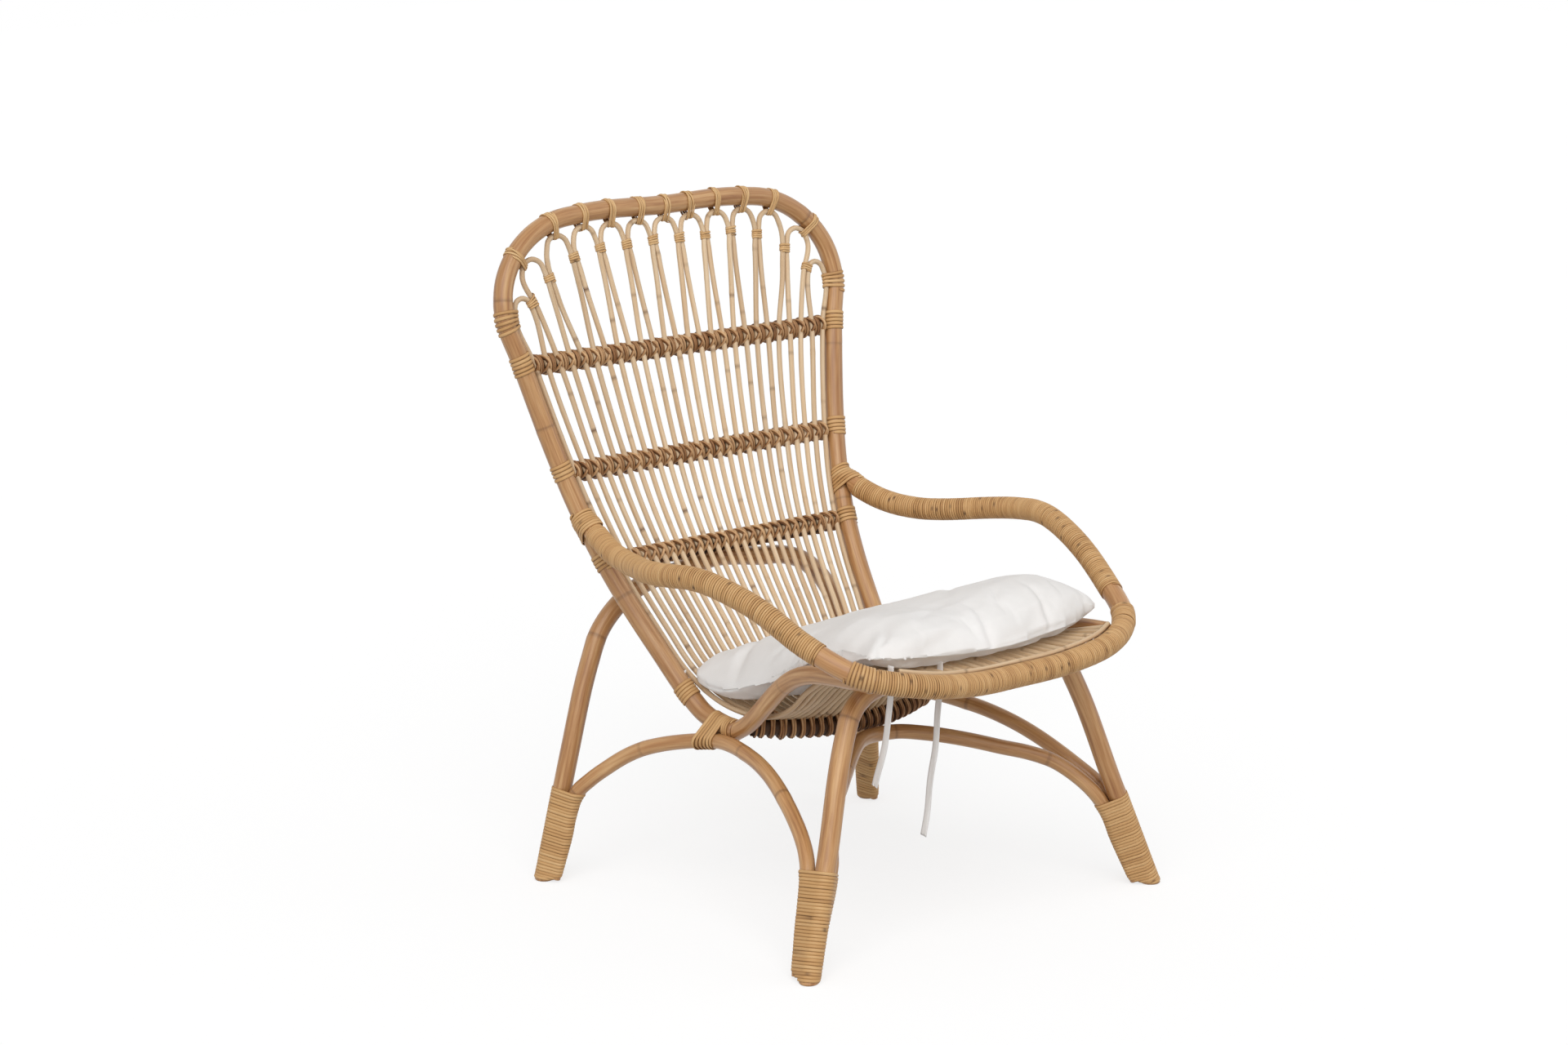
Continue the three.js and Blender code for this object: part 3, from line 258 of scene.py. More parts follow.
class Pole:
    """A round pole: its middle line, with its radius and a frame at each point."""

    def __init__(self, points, radius, end_normals=None):
        self.points, self.radius, self.end_normals = points, radius, end_normals
        self.along = reach_of(self.points)
        self.length = self.along[-1]
        self.way = unit(np.gradient(self.points, axis=0))
        self.side = transported(self.way)
        self.over = np.cross(self.way, self.side)

    @classmethod
    def from_cad(cls, node, sides, step):
        centres, radii, end_normals = tube_rings(node, sides)
        points, chord = smooth_line(centres, step)
        return cls(points, np.interp(chord, reach_of(centres), radii), end_normals)

    def at(self, places):
        """Middle points, directions (along, side, over) and radii at places along the pole."""
        rows = (self.points, self.way, self.side, self.over)
        return (*(picked(places, self.along, r) for r in rows), np.interp(places, self.along, self.radius))

    def near(self, point):
        """The place along the pole that is nearest to a point."""
        return self.along[closest(self.points, point[None])[0]]

    def span(self, node):
        """The lowest and highest place that a CAD node takes up along the pole."""
        places = [self.near(p) for p in welded(node)[0]]
        return min(places), max(places)

    def crossing(self, centre, way):
        """Where the pole passes through a plane: its middle point and its reach there, or none."""
        height = (self.points - centre) @ way
        hits = np.nonzero(height[:-1] * height[1:] <= 0)[0]
        best = None
        for i in hits:
            share = height[i] / (height[i] - height[i + 1] + 1e-12)
            point = self.points[i] + share * (self.points[i + 1] - self.points[i])
            gap = np.linalg.norm(point - centre)
            if gap < BUNDLE_REACH and (best is None or gap < best[0]):
                best = (gap, point, self.radius[i] / max(abs(self.way[i] @ way), LEAST_COSINE))
        return best and best[1:]


poles = {node: Pole.from_cad(node, sides, POLE_STEP) for node, sides in POLE_NODES.items()}
canes = {node: Pole.from_cad(node, CANE_SIDES, CANE_STEP) for node in HAIRPINS}
edging = Pole.from_cad("front_edging_cane", EDGING_SIDES, CANE_STEP)


# Building meshes
class Shape:
    """Corners, faces and per-corner values of one piece, and its own random numbers."""

    def __init__(self, seed_word):
        self.rng = random.Random(seed_word)
        self.corners, self.faces, self.count = [], [], 0
        self.grain, self.mark, self.tone = [], [], []

    def loft(self, rows, grain, mark, tone):
        """Adds a closed tube through rows of corners, with a fan over each end."""
        n, m = rows.shape[:2]
        k = np.arange(m)
        base = self.count + m * np.arange(n - 1)[:, None]
        quads = np.stack([base + k, base + (k + 1) % m, base + m + (k + 1) % m, base + m + k], axis=-1)
        self.faces += quads.reshape(-1, 4).tolist()
        first, last = self.count + n * m, self.count + n * m + 1
        end = self.count + (n - 1) * m
        self.faces += [[first, self.count + (j + 1) % m, self.count + j] for j in range(m)]
        self.faces += [[last, end + j, end + (j + 1) % m] for j in range(m)]
        for kept, values in ((self.corners, rows), (self.grain, grain)):
            kept.append(np.concatenate([values.reshape(-1, 3), values[:1].mean(1), values[-1:].mean(1)]))
        for kept, values in ((self.mark, mark), (self.tone, tone)):
            spread = np.broadcast_to(values.reshape(n, -1), (n, m))
            kept.append(np.concatenate([spread.ravel(), spread[:1, 0], spread[-1:, 0]]))
        self.count += n * m + 2

    def piece(self, name, material, replaced=(), body="chair"):
        mesh = bpy.data.meshes.new(name)
        mesh.from_pydata(np.concatenate(self.corners).tolist(), [], self.faces)
        mesh.polygons.foreach_set("use_smooth", [True] * len(mesh.polygons))
        for label, kind, field, values in (("grain", "FLOAT_VECTOR", "vector", self.grain),
                                           ("mark", "FLOAT", "value", self.mark),
                                           ("tone", "FLOAT", "value", self.tone)):
            attribute = mesh.attributes.new(label, kind, "POINT")
            attribute.data.foreach_set(field, np.concatenate(values).astype(np.float32).ravel())
        mesh.materials.append(material)
        obj = placed(name, mesh)
        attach(obj, body)
        if replaced:
            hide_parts(*replaced)
        return obj


# A leaf joint's swelling, groove and dark line, in widths of the joint
SWELL_SPREAD = 2.5
GROOVE_PLACE = 1.6
GROOVE_SPREAD = 0.5
GROOVE_SHARE = 0.6
DARK_SPREAD = 0.6


class Growth:
    """Where a stem's leaf joints are, and how they swell, groove and darken it."""

    def __init__(self, rng, length, spacing, swell, width, dark):
        self.places = []
        place = rng.uniform(0.2, 0.9) * spacing
        while place < length:
            self.places.append((place, rng.uniform(0.4, 1.0)))
            place += spacing * rng.uniform(0.65, 1.35)
        self.swell, self.width, self.dark = swell, width, dark

    def size(self, along):
        grown = np.ones_like(along)
        for place, strength in self.places:
            swell = self.swell * strength
            groove = along - place - GROOVE_PLACE * self.width
            grown += swell * bell(along - place, SWELL_SPREAD * self.width)
            grown -= GROOVE_SHARE * swell * bell(groove, GROOVE_SPREAD * self.width)
        return grown

    def mark(self, along):
        dark = np.zeros_like(along)
        for place, strength in self.places:
            groove = along - place - GROOVE_PLACE * self.width
            dark = np.maximum(dark, self.dark * strength * bell(groove, DARK_SPREAD * self.width))
        return dark


# A stem's waves and its cut ends
WAVE_PERIOD = 0.07
CUT_REACH = 3
BEVEL = 0.12
END_MARK = 0.55


def round_stem(shape, pole, sides, growth, tone, wave):
    """A round pole with its leaf joints, cut square or flat at its ends as the CAD one is."""
    turn = 2 * np.pi * np.arange(sides) / sides
    spun = np.stack([np.cos(turn), np.sin(turn)], axis=-1)
    waver = 1 + wave * wavering(pole.along, WAVE_PERIOD, shape.rng.uniform(0, 50))
    radius = pole.radius * growth.size(pole.along) * waver
    out = spun[None, :, :1] * pole.side[:, None] + spun[None, :, 1:] * pole.over[:, None]
    rows = pole.points[:, None] + radius[:, None, None] * out
    for end, normal in ((0, pole.end_normals[0]), (-1, pole.end_normals[1])):
        away = np.abs(pole.along - pole.along[end])
        share = np.clip(1 - away / (CUT_REACH * pole.radius[end]), 0, 1)
        lean = (rows - pole.points[:, None]) @ normal / (pole.way @ normal)[:, None]
        rows = rows - (share[:, None] * lean)[:, :, None] * pole.way[:, None]
    rims = []
    for end, inner in ((0, 1), (-1, -2)):
        centre = pole.points[end]
        rims.append(centre + (1 - BEVEL) * (rows[end] - centre))
        rows[end] += BEVEL * pole.radius[end] * unit(pole.points[inner] - centre)
    rows = np.concatenate([rims[0][None], rows, rims[1][None]])
    along = np.concatenate([[pole.along[0]], pole.along, [pole.along[-1]]])
    start = np.array([shape.rng.uniform(0, 9) for _ in range(3)])
    grain = np.empty(rows.shape)
    grain[:, :, 0] = along[:, None] + start[0]
    grain[:, :, 1:] = pole.radius.mean() * spun[None] + start[1:]
    mark = growth.mark(along)
    mark[[0, -1]] = END_MARK
    shape.loft(rows, grain, mark, np.full(len(rows), tone))


# A strand's section, its edges darkened with painted shade where the turns meet, and its tapered tips
STRAND_PROFILE = np.array([
    (-0.5, -0.1), (-0.47, 0.45), (-0.24, 0.92), (0.24, 0.92), (0.47, 0.45), (0.5, -0.1),
])
STRAND_EDGE_SHADE = np.array([-0.55, -0.2, 0.05, 0.05, -0.2, -0.55])
TIP_SIZE = 0.45
TIP_GROWTH = 0.2
SPECK_SPACING = 0.45
SPECK_LENGTH = 0.0035


def specks(along, rng):
    """Dark spots here and there along a strand."""
    dark = np.zeros_like(along)
    place = along[0] + SPECK_SPACING * rng.uniform(0.2, 1.5)
    while place < along[-1]:
        dark = np.maximum(dark, rng.uniform(0.5, 0.95) * bell(along - place, SPECK_LENGTH))
        place += SPECK_SPACING * rng.uniform(0.4, 1.8)
    return dark


def strand(shape, path, out, width, thickness, tone):
    """A split-cane strand along a path: flat below, rounded above, its rounded face turned outward."""
    way = unit(np.gradient(path, axis=0))
    out = square_to(way, out)
    beside = np.cross(way, out)
    ends = np.minimum(np.arange(len(path)), np.arange(len(path))[::-1])
    size = np.clip(TIP_SIZE + TIP_GROWTH * ends, 0, 1)
    across = width * size[:, None] * STRAND_PROFILE[:, 0]
    up = thickness * size[:, None] * STRAND_PROFILE[:, 1]
    rows = path[:, None] + across[:, :, None] * beside[:, None] + up[:, :, None] * out[:, None]
    along = reach_of(path) + shape.rng.uniform(0, 9)
    grain = np.empty(rows.shape)
    grain[:, :, 0] = along[:, None]
    grain[:, :, 1] = across + shape.rng.uniform(0, 9)
    grain[:, :, 2] = shape.rng.uniform(0, 9)
    # The tone is lowered at the strand's edges: painted shade in the grooves between turns
    shape.loft(rows, grain, specks(along, shape.rng), tone[:, None] + STRAND_EDGE_SHADE)


HULL_ANGLES = 72
HULL_STEP = 0.0025
HULL_MARGIN = 0.012
BLUR_ROWS = 4
BLUR_SPREAD = 1.6


class Hull:
    """The taut outline of a bundle of poles, square to the first pole, between two places along it."""

    def __init__(self, bundle, start, end):
        self.main = bundle[0]
        self.places = np.arange(start - HULL_MARGIN, end + HULL_MARGIN + HULL_STEP, HULL_STEP)
        angles = 2 * np.pi * np.arange(HULL_ANGLES) / HULL_ANGLES
        facing = np.column_stack([np.cos(angles), np.sin(angles)])
        centre, way, side, over, radius = self.main.at(self.places)
        outline = np.empty((len(self.places), HULL_ANGLES, 2))
        for i in range(len(self.places)):
            others = [pole.crossing(centre[i], way[i]) for pole in bundle[1:]]
            rounds = [(centre[i], radius[i])] + [hit for hit in others if hit]
            offsets = np.array([point - centre[i] for point, _ in rounds])
            spots = offsets @ np.stack([side[i], over[i]], axis=1)
            reaches = np.array([reach for _, reach in rounds])
            best = (facing @ spots.T + reaches).argmax(1)
            outline[i] = spots[best] + reaches[best][:, None] * facing
        kernel = np.exp(-0.5 * (np.arange(-BLUR_ROWS, BLUR_ROWS + 1) / BLUR_SPREAD) ** 2)
        padded = np.pad(outline, ((BLUR_ROWS, BLUR_ROWS), (0, 0), (0, 0)), mode="edge")
        self.outline = sum(k * padded[j:j + len(outline)] for j, k in enumerate(kernel / kernel.sum()))

    def line(self, places, angles, lift):
        """Points on the outline, lifted outward, and the outward directions there."""
        i = np.clip((places - self.places[0]) / HULL_STEP, 0, len(self.places) - 1.001)
        a = (angles / (2 * np.pi) * HULL_ANGLES) % HULL_ANGLES
        low_i, low_a = i.astype(int), a.astype(int)
        di, da = (i - low_i)[:, None], (a - low_a)[:, None]
        high_a = (low_a + 1) % HULL_ANGLES
        flat = ((1 - di) * ((1 - da) * self.outline[low_i, low_a] + da * self.outline[low_i, high_a])
                + di * ((1 - da) * self.outline[low_i + 1, low_a] + da * self.outline[low_i + 1, high_a]))
        centre, _, side, over, _ = self.main.at(places)
        out = turned(angles, side, over)
        return centre + flat[:, :1] * side + flat[:, 1:] * over + lift[:, None] * out, out


FLOOR_GAP = 0.004
FLOOR_SOFTNESS = 0.003


def kept_above(heights, floor, softness):
    """Heights that ease out just above a floor."""
    return floor + softness * np.logaddexp(0, (heights - floor) / softness)


# How a wound strand varies from turn to turn
TURN_STEPS = 40
TURN_LIFT = 0.12
WOUND_TONE = 0.5
TURN_SHADE = 0.3
FINE_SHADE = 0.12


def wind(shape, hull, start, end, size, loose=0.1, lift=0.0002, pale=0.0):
    """One strand wound round a hull from one place to another."""
    pitch, width, thickness = size
    turns = max(1.0, abs(end - start) / pitch)
    progress = np.linspace(0, 1, int(turns * TURN_STEPS) + 1)
    turn = progress * turns
    seed = shape.rng.uniform(0, 90)
    places = start + (end - start) * progress + loose * pitch * wavering(turn, 0.8, seed)
    lifts = lift + TURN_LIFT * thickness * (1 + wavering(turn, 0.55, seed + 7))
    path, out = hull.line(places, 2 * np.pi * turn + shape.rng.uniform(0, 6), lifts)
    path[:, 2] = kept_above(path[:, 2], FLOOR_GAP, FLOOR_SOFTNESS)
    tone = WOUND_TONE + pale + TURN_SHADE * wavering(turn, 1.1, seed + 13)
    tone += FINE_SHADE * wavering(turn, 0.2, seed + 17)
    strand(shape, path, out, width, thickness, tone)


# Materials
def srgb(*steps):
    """A colour written in 0 to 255 steps, as linear values."""
    shares = (step / 255 for step in steps)
    return (*(v / 12.92 if v <= 0.04045 else ((v + 0.055) / 1.055) ** 2.4 for v in shares), 1.0)


def grey(level):
    return (level, level, level, 1.0)


def fill_in(node, **values):
    """Sets a node's inputs by their names, with underscores for spaces."""
    for socket, value in values.items():
        node.inputs[socket.replace("_", " ")].default_value = value


# A mix node's sockets for colours
MIX_COLOURS = (6, 7)
MIX_RESULT = 2


class Finish:
    """A material's node tree, with short ways to add to it."""

    def __init__(self, name, **values):
        self.material = bpy.data.materials.new(name)
        self.material.use_nodes = True
        self.tree = self.material.node_tree
        self.shader = self.tree.nodes["Principled BSDF"]
        fill_in(self.shader, **values)

    def node(self, kind, **settings):
        node = self.tree.nodes.new("ShaderNode" + kind)
        for key, value in settings.items():
            setattr(node, key, value)
        return node

    def link(self, source, target):
        self.tree.links.new(source, target)

    def attribute(self, name, output):
        return self.node("Attribute", attribute_name=name).outputs[output]

    def noise(self, scale, detail, roughness, coords=None):
        """Noise over the grain or other coordinates, with a scale for each axis."""
        mapping = self.node("Mapping")
        fill_in(mapping, Scale=scale)
        self.link(coords or self.attribute("grain", "Vector"), mapping.inputs["Vector"])
        texture = self.node("TexNoise")
        fill_in(texture, Scale=1.0, Detail=detail, Roughness=roughness)
        self.link(mapping.outputs["Vector"], texture.inputs["Vector"])
        return texture.outputs["Fac"]

    def ramp(self, factor, *stops):
        """Colours at places from 0 to 1, picked by a factor."""
        ramp = self.node("ValToRGB")
        elements = ramp.color_ramp.elements
        while len(elements) < len(stops):
            elements.new(0.5)
        for element, (place, colour) in zip(elements, stops):
            element.position = place
            element.color = colour
        self.link(factor, ramp.inputs["Fac"])
        return ramp.outputs["Color"]

    def mix(self, factor, *colours):
        """Two colours mixed by a factor, each a plain colour or an output."""
        mix = self.node("Mix", data_type="RGBA")
        self.link(factor, mix.inputs["Factor"])
        for number, colour in zip(MIX_COLOURS, colours):
            if isinstance(colour, tuple):
                mix.inputs[number].default_value = colour
            else:
                self.link(colour, mix.inputs[number])
        return mix.outputs[MIX_RESULT]

    def ranged(self, value, given, wanted):
        """A value moved from the range that it has to another."""
        node = self.node("MapRange")
        fill_in(node, From_Min=given[0], From_Max=given[1], To_Min=wanted[0], To_Max=wanted[1])
        self.link(value, node.inputs["Value"])
        return node.outputs["Result"]

    def bump(self, height, strength, distance):
        node = self.node("Bump")
        fill_in(node, Strength=strength, Distance=distance)
        self.link(height, node.inputs["Height"])
        self.feed("Normal", node.outputs["Normal"])

    def feed(self, socket, source):
        self.link(source, self.shader.inputs[socket])


def stem_finish(name, stops, dark, streaks, roughness, coat):
    """A rattan stem: streaks along its length, blotches, dark leaf joints and a soft polish."""
    finish = Finish(name, Coat_Weight=coat, Coat_Roughness=0.3, Specular_IOR_Level=0.4)
    fine = finish.noise((9.0, streaks, streaks), detail=6.0, roughness=0.6)
    broad = finish.noise((5.0, 38.0, 38.0), detail=3.0, roughness=0.5)
    body = finish.ramp(fine, *stops)
    blotch = finish.ranged(broad, (0.35, 0.75), (0.0, 0.55))
    body = finish.mix(blotch, body, stops[0][1])
    shade = finish.ranged(finish.attribute("tone", "Fac"), (0.0, 1.0), (0.0, 0.45))
    body = finish.mix(shade, body, dark)
    body = finish.mix(finish.attribute("mark", "Fac"), body, dark)
    finish.feed("Base Color", body)
    finish.feed("Roughness", finish.ranged(fine, (0.3, 0.7), (roughness - 0.06, roughness + 0.1)))
    finish.bump(fine, strength=0.25, distance=0.0006)
    return finish.material


POLE_FINISH = stem_finish(
    "pole", ((0.28, srgb(152, 100, 56)), (0.5, srgb(196, 147, 95)), (0.7, srgb(222, 180, 129))),
    srgb(98, 62, 34), streaks=190.0, roughness=0.36, coat=0.25)
# Bars behind the canes: their dark colour is painted shade, for the shadow behind the canes and lashings
SHADED_BAR_FINISH = stem_finish(
    "bar_painted_shade", ((0.25, srgb(58, 36, 20)), (0.5, srgb(78, 50, 28)), (0.75, srgb(98, 64, 38))),
    srgb(40, 24, 14), streaks=190.0, roughness=0.6, coat=0.0)
CANE_FINISH = stem_finish(
    "cane", ((0.25, srgb(196, 160, 120)), (0.5, srgb(219, 192, 156)), (0.75, srgb(232, 212, 183))),
    srgb(104, 70, 44), streaks=420.0, roughness=0.5, coat=0.05)
SPECK_COLOUR = srgb(72, 44, 24)


def strand_finish(name, stops, dark, roughness):
    """Split cane: fibres along each strand, with each turn a little lighter or darker than the next."""
    finish = Finish(name, Specular_IOR_Level=0.35)
    fine = finish.noise((25.0, 1500.0, 1500.0), detail=4.0, roughness=0.6)
    tone = finish.ramp(finish.attribute("tone", "Fac"), *stops)
    body = finish.mix(finish.ranged(fine, (0.42, 0.8), (0.0, 0.55)), tone, dark)
    body = finish.mix(finish.attribute("mark", "Fac"), body, SPECK_COLOUR)
    finish.feed("Base Color", body)
    finish.feed("Roughness", finish.ranged(fine, (0.3, 0.7), (roughness - 0.05, roughness + 0.1)))
    finish.bump(fine, strength=0.2, distance=0.0003)
    return finish.material


SPLIT_FINISH = strand_finish(
    "split_cane", ((0.0, srgb(128, 84, 46)), (0.45, srgb(200, 156, 103)), (0.9, srgb(220, 184, 134))),
    srgb(146, 102, 58), roughness=0.5)
LASHING_FINISH = strand_finish(
    "lashing", ((0.0, srgb(66, 40, 21)), (0.4, srgb(152, 105, 64)), (0.8, srgb(216, 176, 130))),
    srgb(78, 50, 28), roughness=0.55)


def cloth_finish():
    """Plain white cotton: a fine weave of crossed threads with painted shade in its hollows, over soft
    mottling.
    """
    finish = Finish("cushion", Roughness=0.9, Sheen_Weight=0.2, Sheen_Roughness=0.5, Specular_IOR_Level=0.2)
    coords = finish.node("TexCoord").outputs["Object"]
    weave = finish.node("Math", operation="MAXIMUM")
    for number, direction in enumerate("XY"):
        wave = finish.node("TexWave", wave_type="BANDS", bands_direction=direction)
        fill_in(wave, Scale=300.0, Distortion=0.6, Detail=1.0)
        finish.link(coords, wave.inputs["Vector"])
        finish.link(wave.outputs["Fac"], weave.inputs[number])
    soft = finish.noise((9.0, 9.0, 9.0), detail=4.0, roughness=0.5, coords=coords)
    body = finish.ramp(soft, (0.3, srgb(232, 229, 226)), (0.7, srgb(242, 240, 238)))
    # The hollows between the threads are painted greyer: painted shade
    hollow = finish.ranged(weave.outputs["Value"], (0.0, 1.0), (0.12, 0.0))
    finish.feed("Base Color", finish.mix(hollow, body, srgb(205, 200, 196)))
    finish.bump(weave.outputs["Value"], strength=0.25, distance=0.0002)
    return finish.material


CLOTH_FINISH = cloth_finish()


# Camera
def add_camera():
    data = bpy.data.cameras.new("camera")
    data.lens = CAMERA_LENS
    data.sensor_width = CAMERA_SENSOR
    data.sensor_fit = "HORIZONTAL"
    camera = placed("camera", data)
    camera.location = CAMERA_PLACE
    camera.rotation_euler = (CAMERA_TARGET - CAMERA_PLACE).to_track_quat("-Z", "Y").to_euler()
    scene.camera = camera


add_camera()


# Ties
def add_tie(name, x, route):
    middle = np.array([(x, y, z) for y, z in route]) / 1000
    middle[:, 1] += SHIFT_Y
    middle[0, 2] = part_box(f"tie_{name}")[1].z
    path, _ = smooth_line(middle, TIE_STEP)
    way = unit(np.gradient(path, axis=0))
    wide = square_to(way, np.array([0.0, 1.0, 0.0]))
    thick = np.cross(way, wide)
    along = reach_of(path)
    curl = TIE_CURL * np.sin(along * TIE_CURL_RATE) * np.clip(along / TIE_CURL_START, 0, 1)
    rows = np.stack([path + TIE_WIDTH * w * wide + TIE_THICKNESS * t * thick
                     + (curl * 4 * w * w)[:, None] * thick for w, t in TIE_OUTLINE], axis=1)
    shape = Shape(name)
    grain = np.repeat(path[:, None], len(TIE_OUTLINE), axis=1)
    shape.loft(rows, grain, np.zeros(len(path)), np.zeros(len(path)))
    obj = shape.piece(f"tie_{name}_ribbon", CLOTH_FINISH, [f"tie_{name}"], "cushion")


for tie, (x, route) in TIES.items():
    add_tie(tie, x, route)


# Poles and canes, with the spacing, swelling, width and darkness of their leaf joints
THICK_POLE = 0.0125
THICK_POLE_SPACING = 0.26
THIN_POLE_SPACING = 0.19
POLE_JOINTS = (0.03, 0.0035, 0.75)
POLE_WAVE = 0.008
CANE_SPACING = 0.13
CANE_JOINTS = (0.08, 0.0022, 0.95)
CANE_WAVE = 0.03


def add_stems():
    for node, pole in poles.items():
        shape = Shape(node)
        spacing = THICK_POLE_SPACING if pole.radius.max() > THICK_POLE else THIN_POLE_SPACING
        growth = Growth(shape.rng, pole.length, spacing, *POLE_JOINTS)
        round_stem(shape, pole, POLE_ROUND, growth, shape.rng.uniform(0.1, 0.4), POLE_WAVE)
        # The lashed bars take the finish with painted shade
        lashed = node.startswith("back_bar") or node == "seat_cross_bar"
        shape.piece(f"{node}_stem", SHADED_BAR_FINISH if lashed else POLE_FINISH, [node])
    for node, cane in [*canes.items(), ("front_edging_cane", edging)]:
        shape = Shape(node)
        growth = Growth(shape.rng, cane.length, CANE_SPACING, *CANE_JOINTS)
        round_stem(shape, cane, CANE_ROUND, growth, shape.rng.uniform(0.0, 0.35), CANE_WAVE)
        shape.piece(f"{node}_stem", CANE_FINISH, [node])


add_stems()


# Windings and bindings: the pitch, width and thickness of their strands
RAIL_STRAND = (0.0036, 0.0035, 0.0014)
ARM_STRAND = (0.0038, 0.0037, 0.0014)
CORNER_STRAND = (0.0052, 0.0050, 0.0020)
ARM_JOINT_STRAND = (0.0052, 0.0050, 0.0018)
FOOT_STRAND = (0.005, 0.0051, 0.0013)
JOINT_STRAND = (0.0056, 0.0056, 0.0017)
SHOULDER_STRAND = (0.0072, 0.0054, 0.0016)
BAR_STRAND = (0.0062, 0.0056, 0.0016)
LOOP_STRAND = (0.0042, 0.0037, 0.0014)
RETURN_STRAND = (0.0124, 0.0034, 0.0012)
PAIR_STRAND = (0.0036, 0.0035, 0.0012)
TAIL_STRAND = (0.0045, 0.0044, 0.0018)
WINDING_GAP = 0.001
ARM_JOINT_REACH = (-0.07, 0.05)
ARM_JOINT_POINTS = 41
ARM_TIP_POINTS = 40
LINE_RADIUS = 0.001


def arm_joint(side):
    """The line midway between the back frame and an arm that meets it, with both of them."""
    back, arm = poles["back_frame"], poles["arm_and_front_rail"]
    lead = arm.points if side == "left" else arm.points[::-1]
    arriving = unit(lead[0] - lead[1])
    place = back.near(lead[0] + arm.radius[0] * arriving)
    centre, up = (rows[0] for rows in back.at(np.array([place]))[:2])
    midway = unit(arriving + (up if up[2] > 0 else -up))
    line = centre + np.linspace(*ARM_JOINT_REACH, ARM_JOINT_POINTS)[:, None] * midway
    tip = np.concatenate([centre[None], lead[:ARM_TIP_POINTS]])
    arm_tip = Pole(tip, np.full(len(tip), arm.radius[0]))
    return [Pole(line, np.full(len(line), LINE_RADIUS)), back, arm_tip]


def add_windings():
    back, arm = poles["back_frame"], poles["arm_and_front_rail"]
    front, rear = poles["front_leg_hoop"], poles["rear_leg_hoop"]
    jobs = [("front_rail_winding", [arm], RAIL_STRAND)]
    for side in SIDES:
        arch = poles[f"side_arch_{side}"]
        outer = canes[HAIRPINS[0] if side == "left" else HAIRPINS[-1]]
        jobs += [
            (f"arm_winding_{side}", [arm], ARM_STRAND),
            (f"front_corner_binding_{side}", [arm], CORNER_STRAND),
            (f"arm_joint_binding_{side}", arm_joint(side), ARM_JOINT_STRAND),
            (f"foot_winding_front_{side}", [front, arch, poles["front_arch"]], FOOT_STRAND),
            (f"foot_winding_rear_{side}", [rear, arch], FOOT_STRAND),
            (f"seat_joint_binding_{side}", [back, arch], JOINT_STRAND),
            (f"low_back_binding_{side}", [back], JOINT_STRAND),
            (f"shoulder_binding_{side}", [back, outer], SHOULDER_STRAND),
        ]
        jobs += [(f"back_bar_binding_{height}_{side}", [back], BAR_STRAND) for height in HEIGHTS]
    for node, bundle, size in jobs:
        start, end = bundle[0].span(node)
        if node == "front_rail_winding":
            start = arm.span("front_corner_binding_left")[1] + WINDING_GAP
            end = arm.span("front_corner_binding_right")[0] - WINDING_GAP
        elif node.startswith("foot_winding"):
            start, end = (0.0, end) if start < bundle[0].length / 2 else (start, bundle[0].length)
        shape = Shape(node)
        wind(shape, Hull(bundle, start, end), start, end, size)
        shape.piece(f"{node}_strands", SPLIT_FINISH, [node])


add_windings()


# Wraps that hold each loop to the top rail, and each leg to its neighbour
LOOP_WRAP_HALF = 0.0062
LOOP_HULL_HALF = 0.012
PAIR_WRAP_HALF = 0.0065
PAIR_HULL_HALF = 0.010
PAIR_LOWEST = 0.03


def loop_top(cane):
    """A hairpin's place at the top of its loop, where its two legs part."""
    return cane.along[np.argmax(cane.points[:, 2])]


def add_loop_wraps():
    """Turns round the rail and a loop, and a strand that goes back over them."""
    back = poles["back_frame"]
    for node in HAIRPINS[1:-1]:
        cane = canes[node]
        place = back.along[closest(cane.points, back.points)[1]]
        low, high = place - LOOP_WRAP_HALF, place + LOOP_WRAP_HALF
        hull = Hull([back, cane], place - LOOP_HULL_HALF, place + LOOP_HULL_HALF)
        shape = Shape(node + " wrap")
        wind(shape, hull, low, high, LOOP_STRAND, loose=0.2, pale=0.25)
        wind(shape, hull, high, low, RETURN_STRAND, loose=0.25, lift=0.0012, pale=0.25)
        shape.piece(f"{node}_rail_wrap", SPLIT_FINISH)


def add_pair_bindings():
    lowest = poles["back_bar_upper"].points[0, 2] + PAIR_LOWEST
    for first, second in zip(HAIRPINS[:-1], HAIRPINS[1:]):
        one, two = canes[first], canes[second]
        right = one.points[(one.along > loop_top(one)) & (one.points[:, 2] > lowest)]
        left = two.points[(two.along < loop_top(two)) & (two.points[:, 2] > lowest)]
        place = one.near(right[closest(right, left)[0]])
        hull = Hull([one, two], place - PAIR_HULL_HALF, place + PAIR_HULL_HALF)
        shape = Shape(first + " pair")
        low, high = place - PAIR_WRAP_HALF, place + PAIR_WRAP_HALF
        wind(shape, hull, low, high, PAIR_STRAND, loose=0.15, pale=0.2)
        shape.piece(f"{first}_pair_binding", SPLIT_FINISH)


# Wraps on the back frame's tips, and frapping that draws the seat joints together
TAIL_WRAP = (0.005, 0.020)
FRAPPING_TURNS = 2
FRAPPING_STEPS = 48
FRAPPING_RAISE = 0.25
FRAPPING_CLEARANCE = 0.0026
FRAPPING_DROP = 0.0052
FRAPPING_STRAND = (0.0048, 0.0017)
SQUARENESS = 0.45


def add_tail_wraps():
    back = poles["back_frame"]
    for side in SIDES:
        start, end = TAIL_WRAP if side == "left" else [back.length - place for place in reversed(TAIL_WRAP)]
        shape = Shape(f"tail {side}")
        wind(shape, Hull([back], start, end), start, end, TAIL_STRAND)
        shape.piece(f"tail_wrap_{side}", SPLIT_FINISH)


def squared_off(waves):
    """Waves from -1 to 1 with flatter tops and steeper sides."""
    return np.sign(waves) * np.abs(waves) ** SQUARENESS


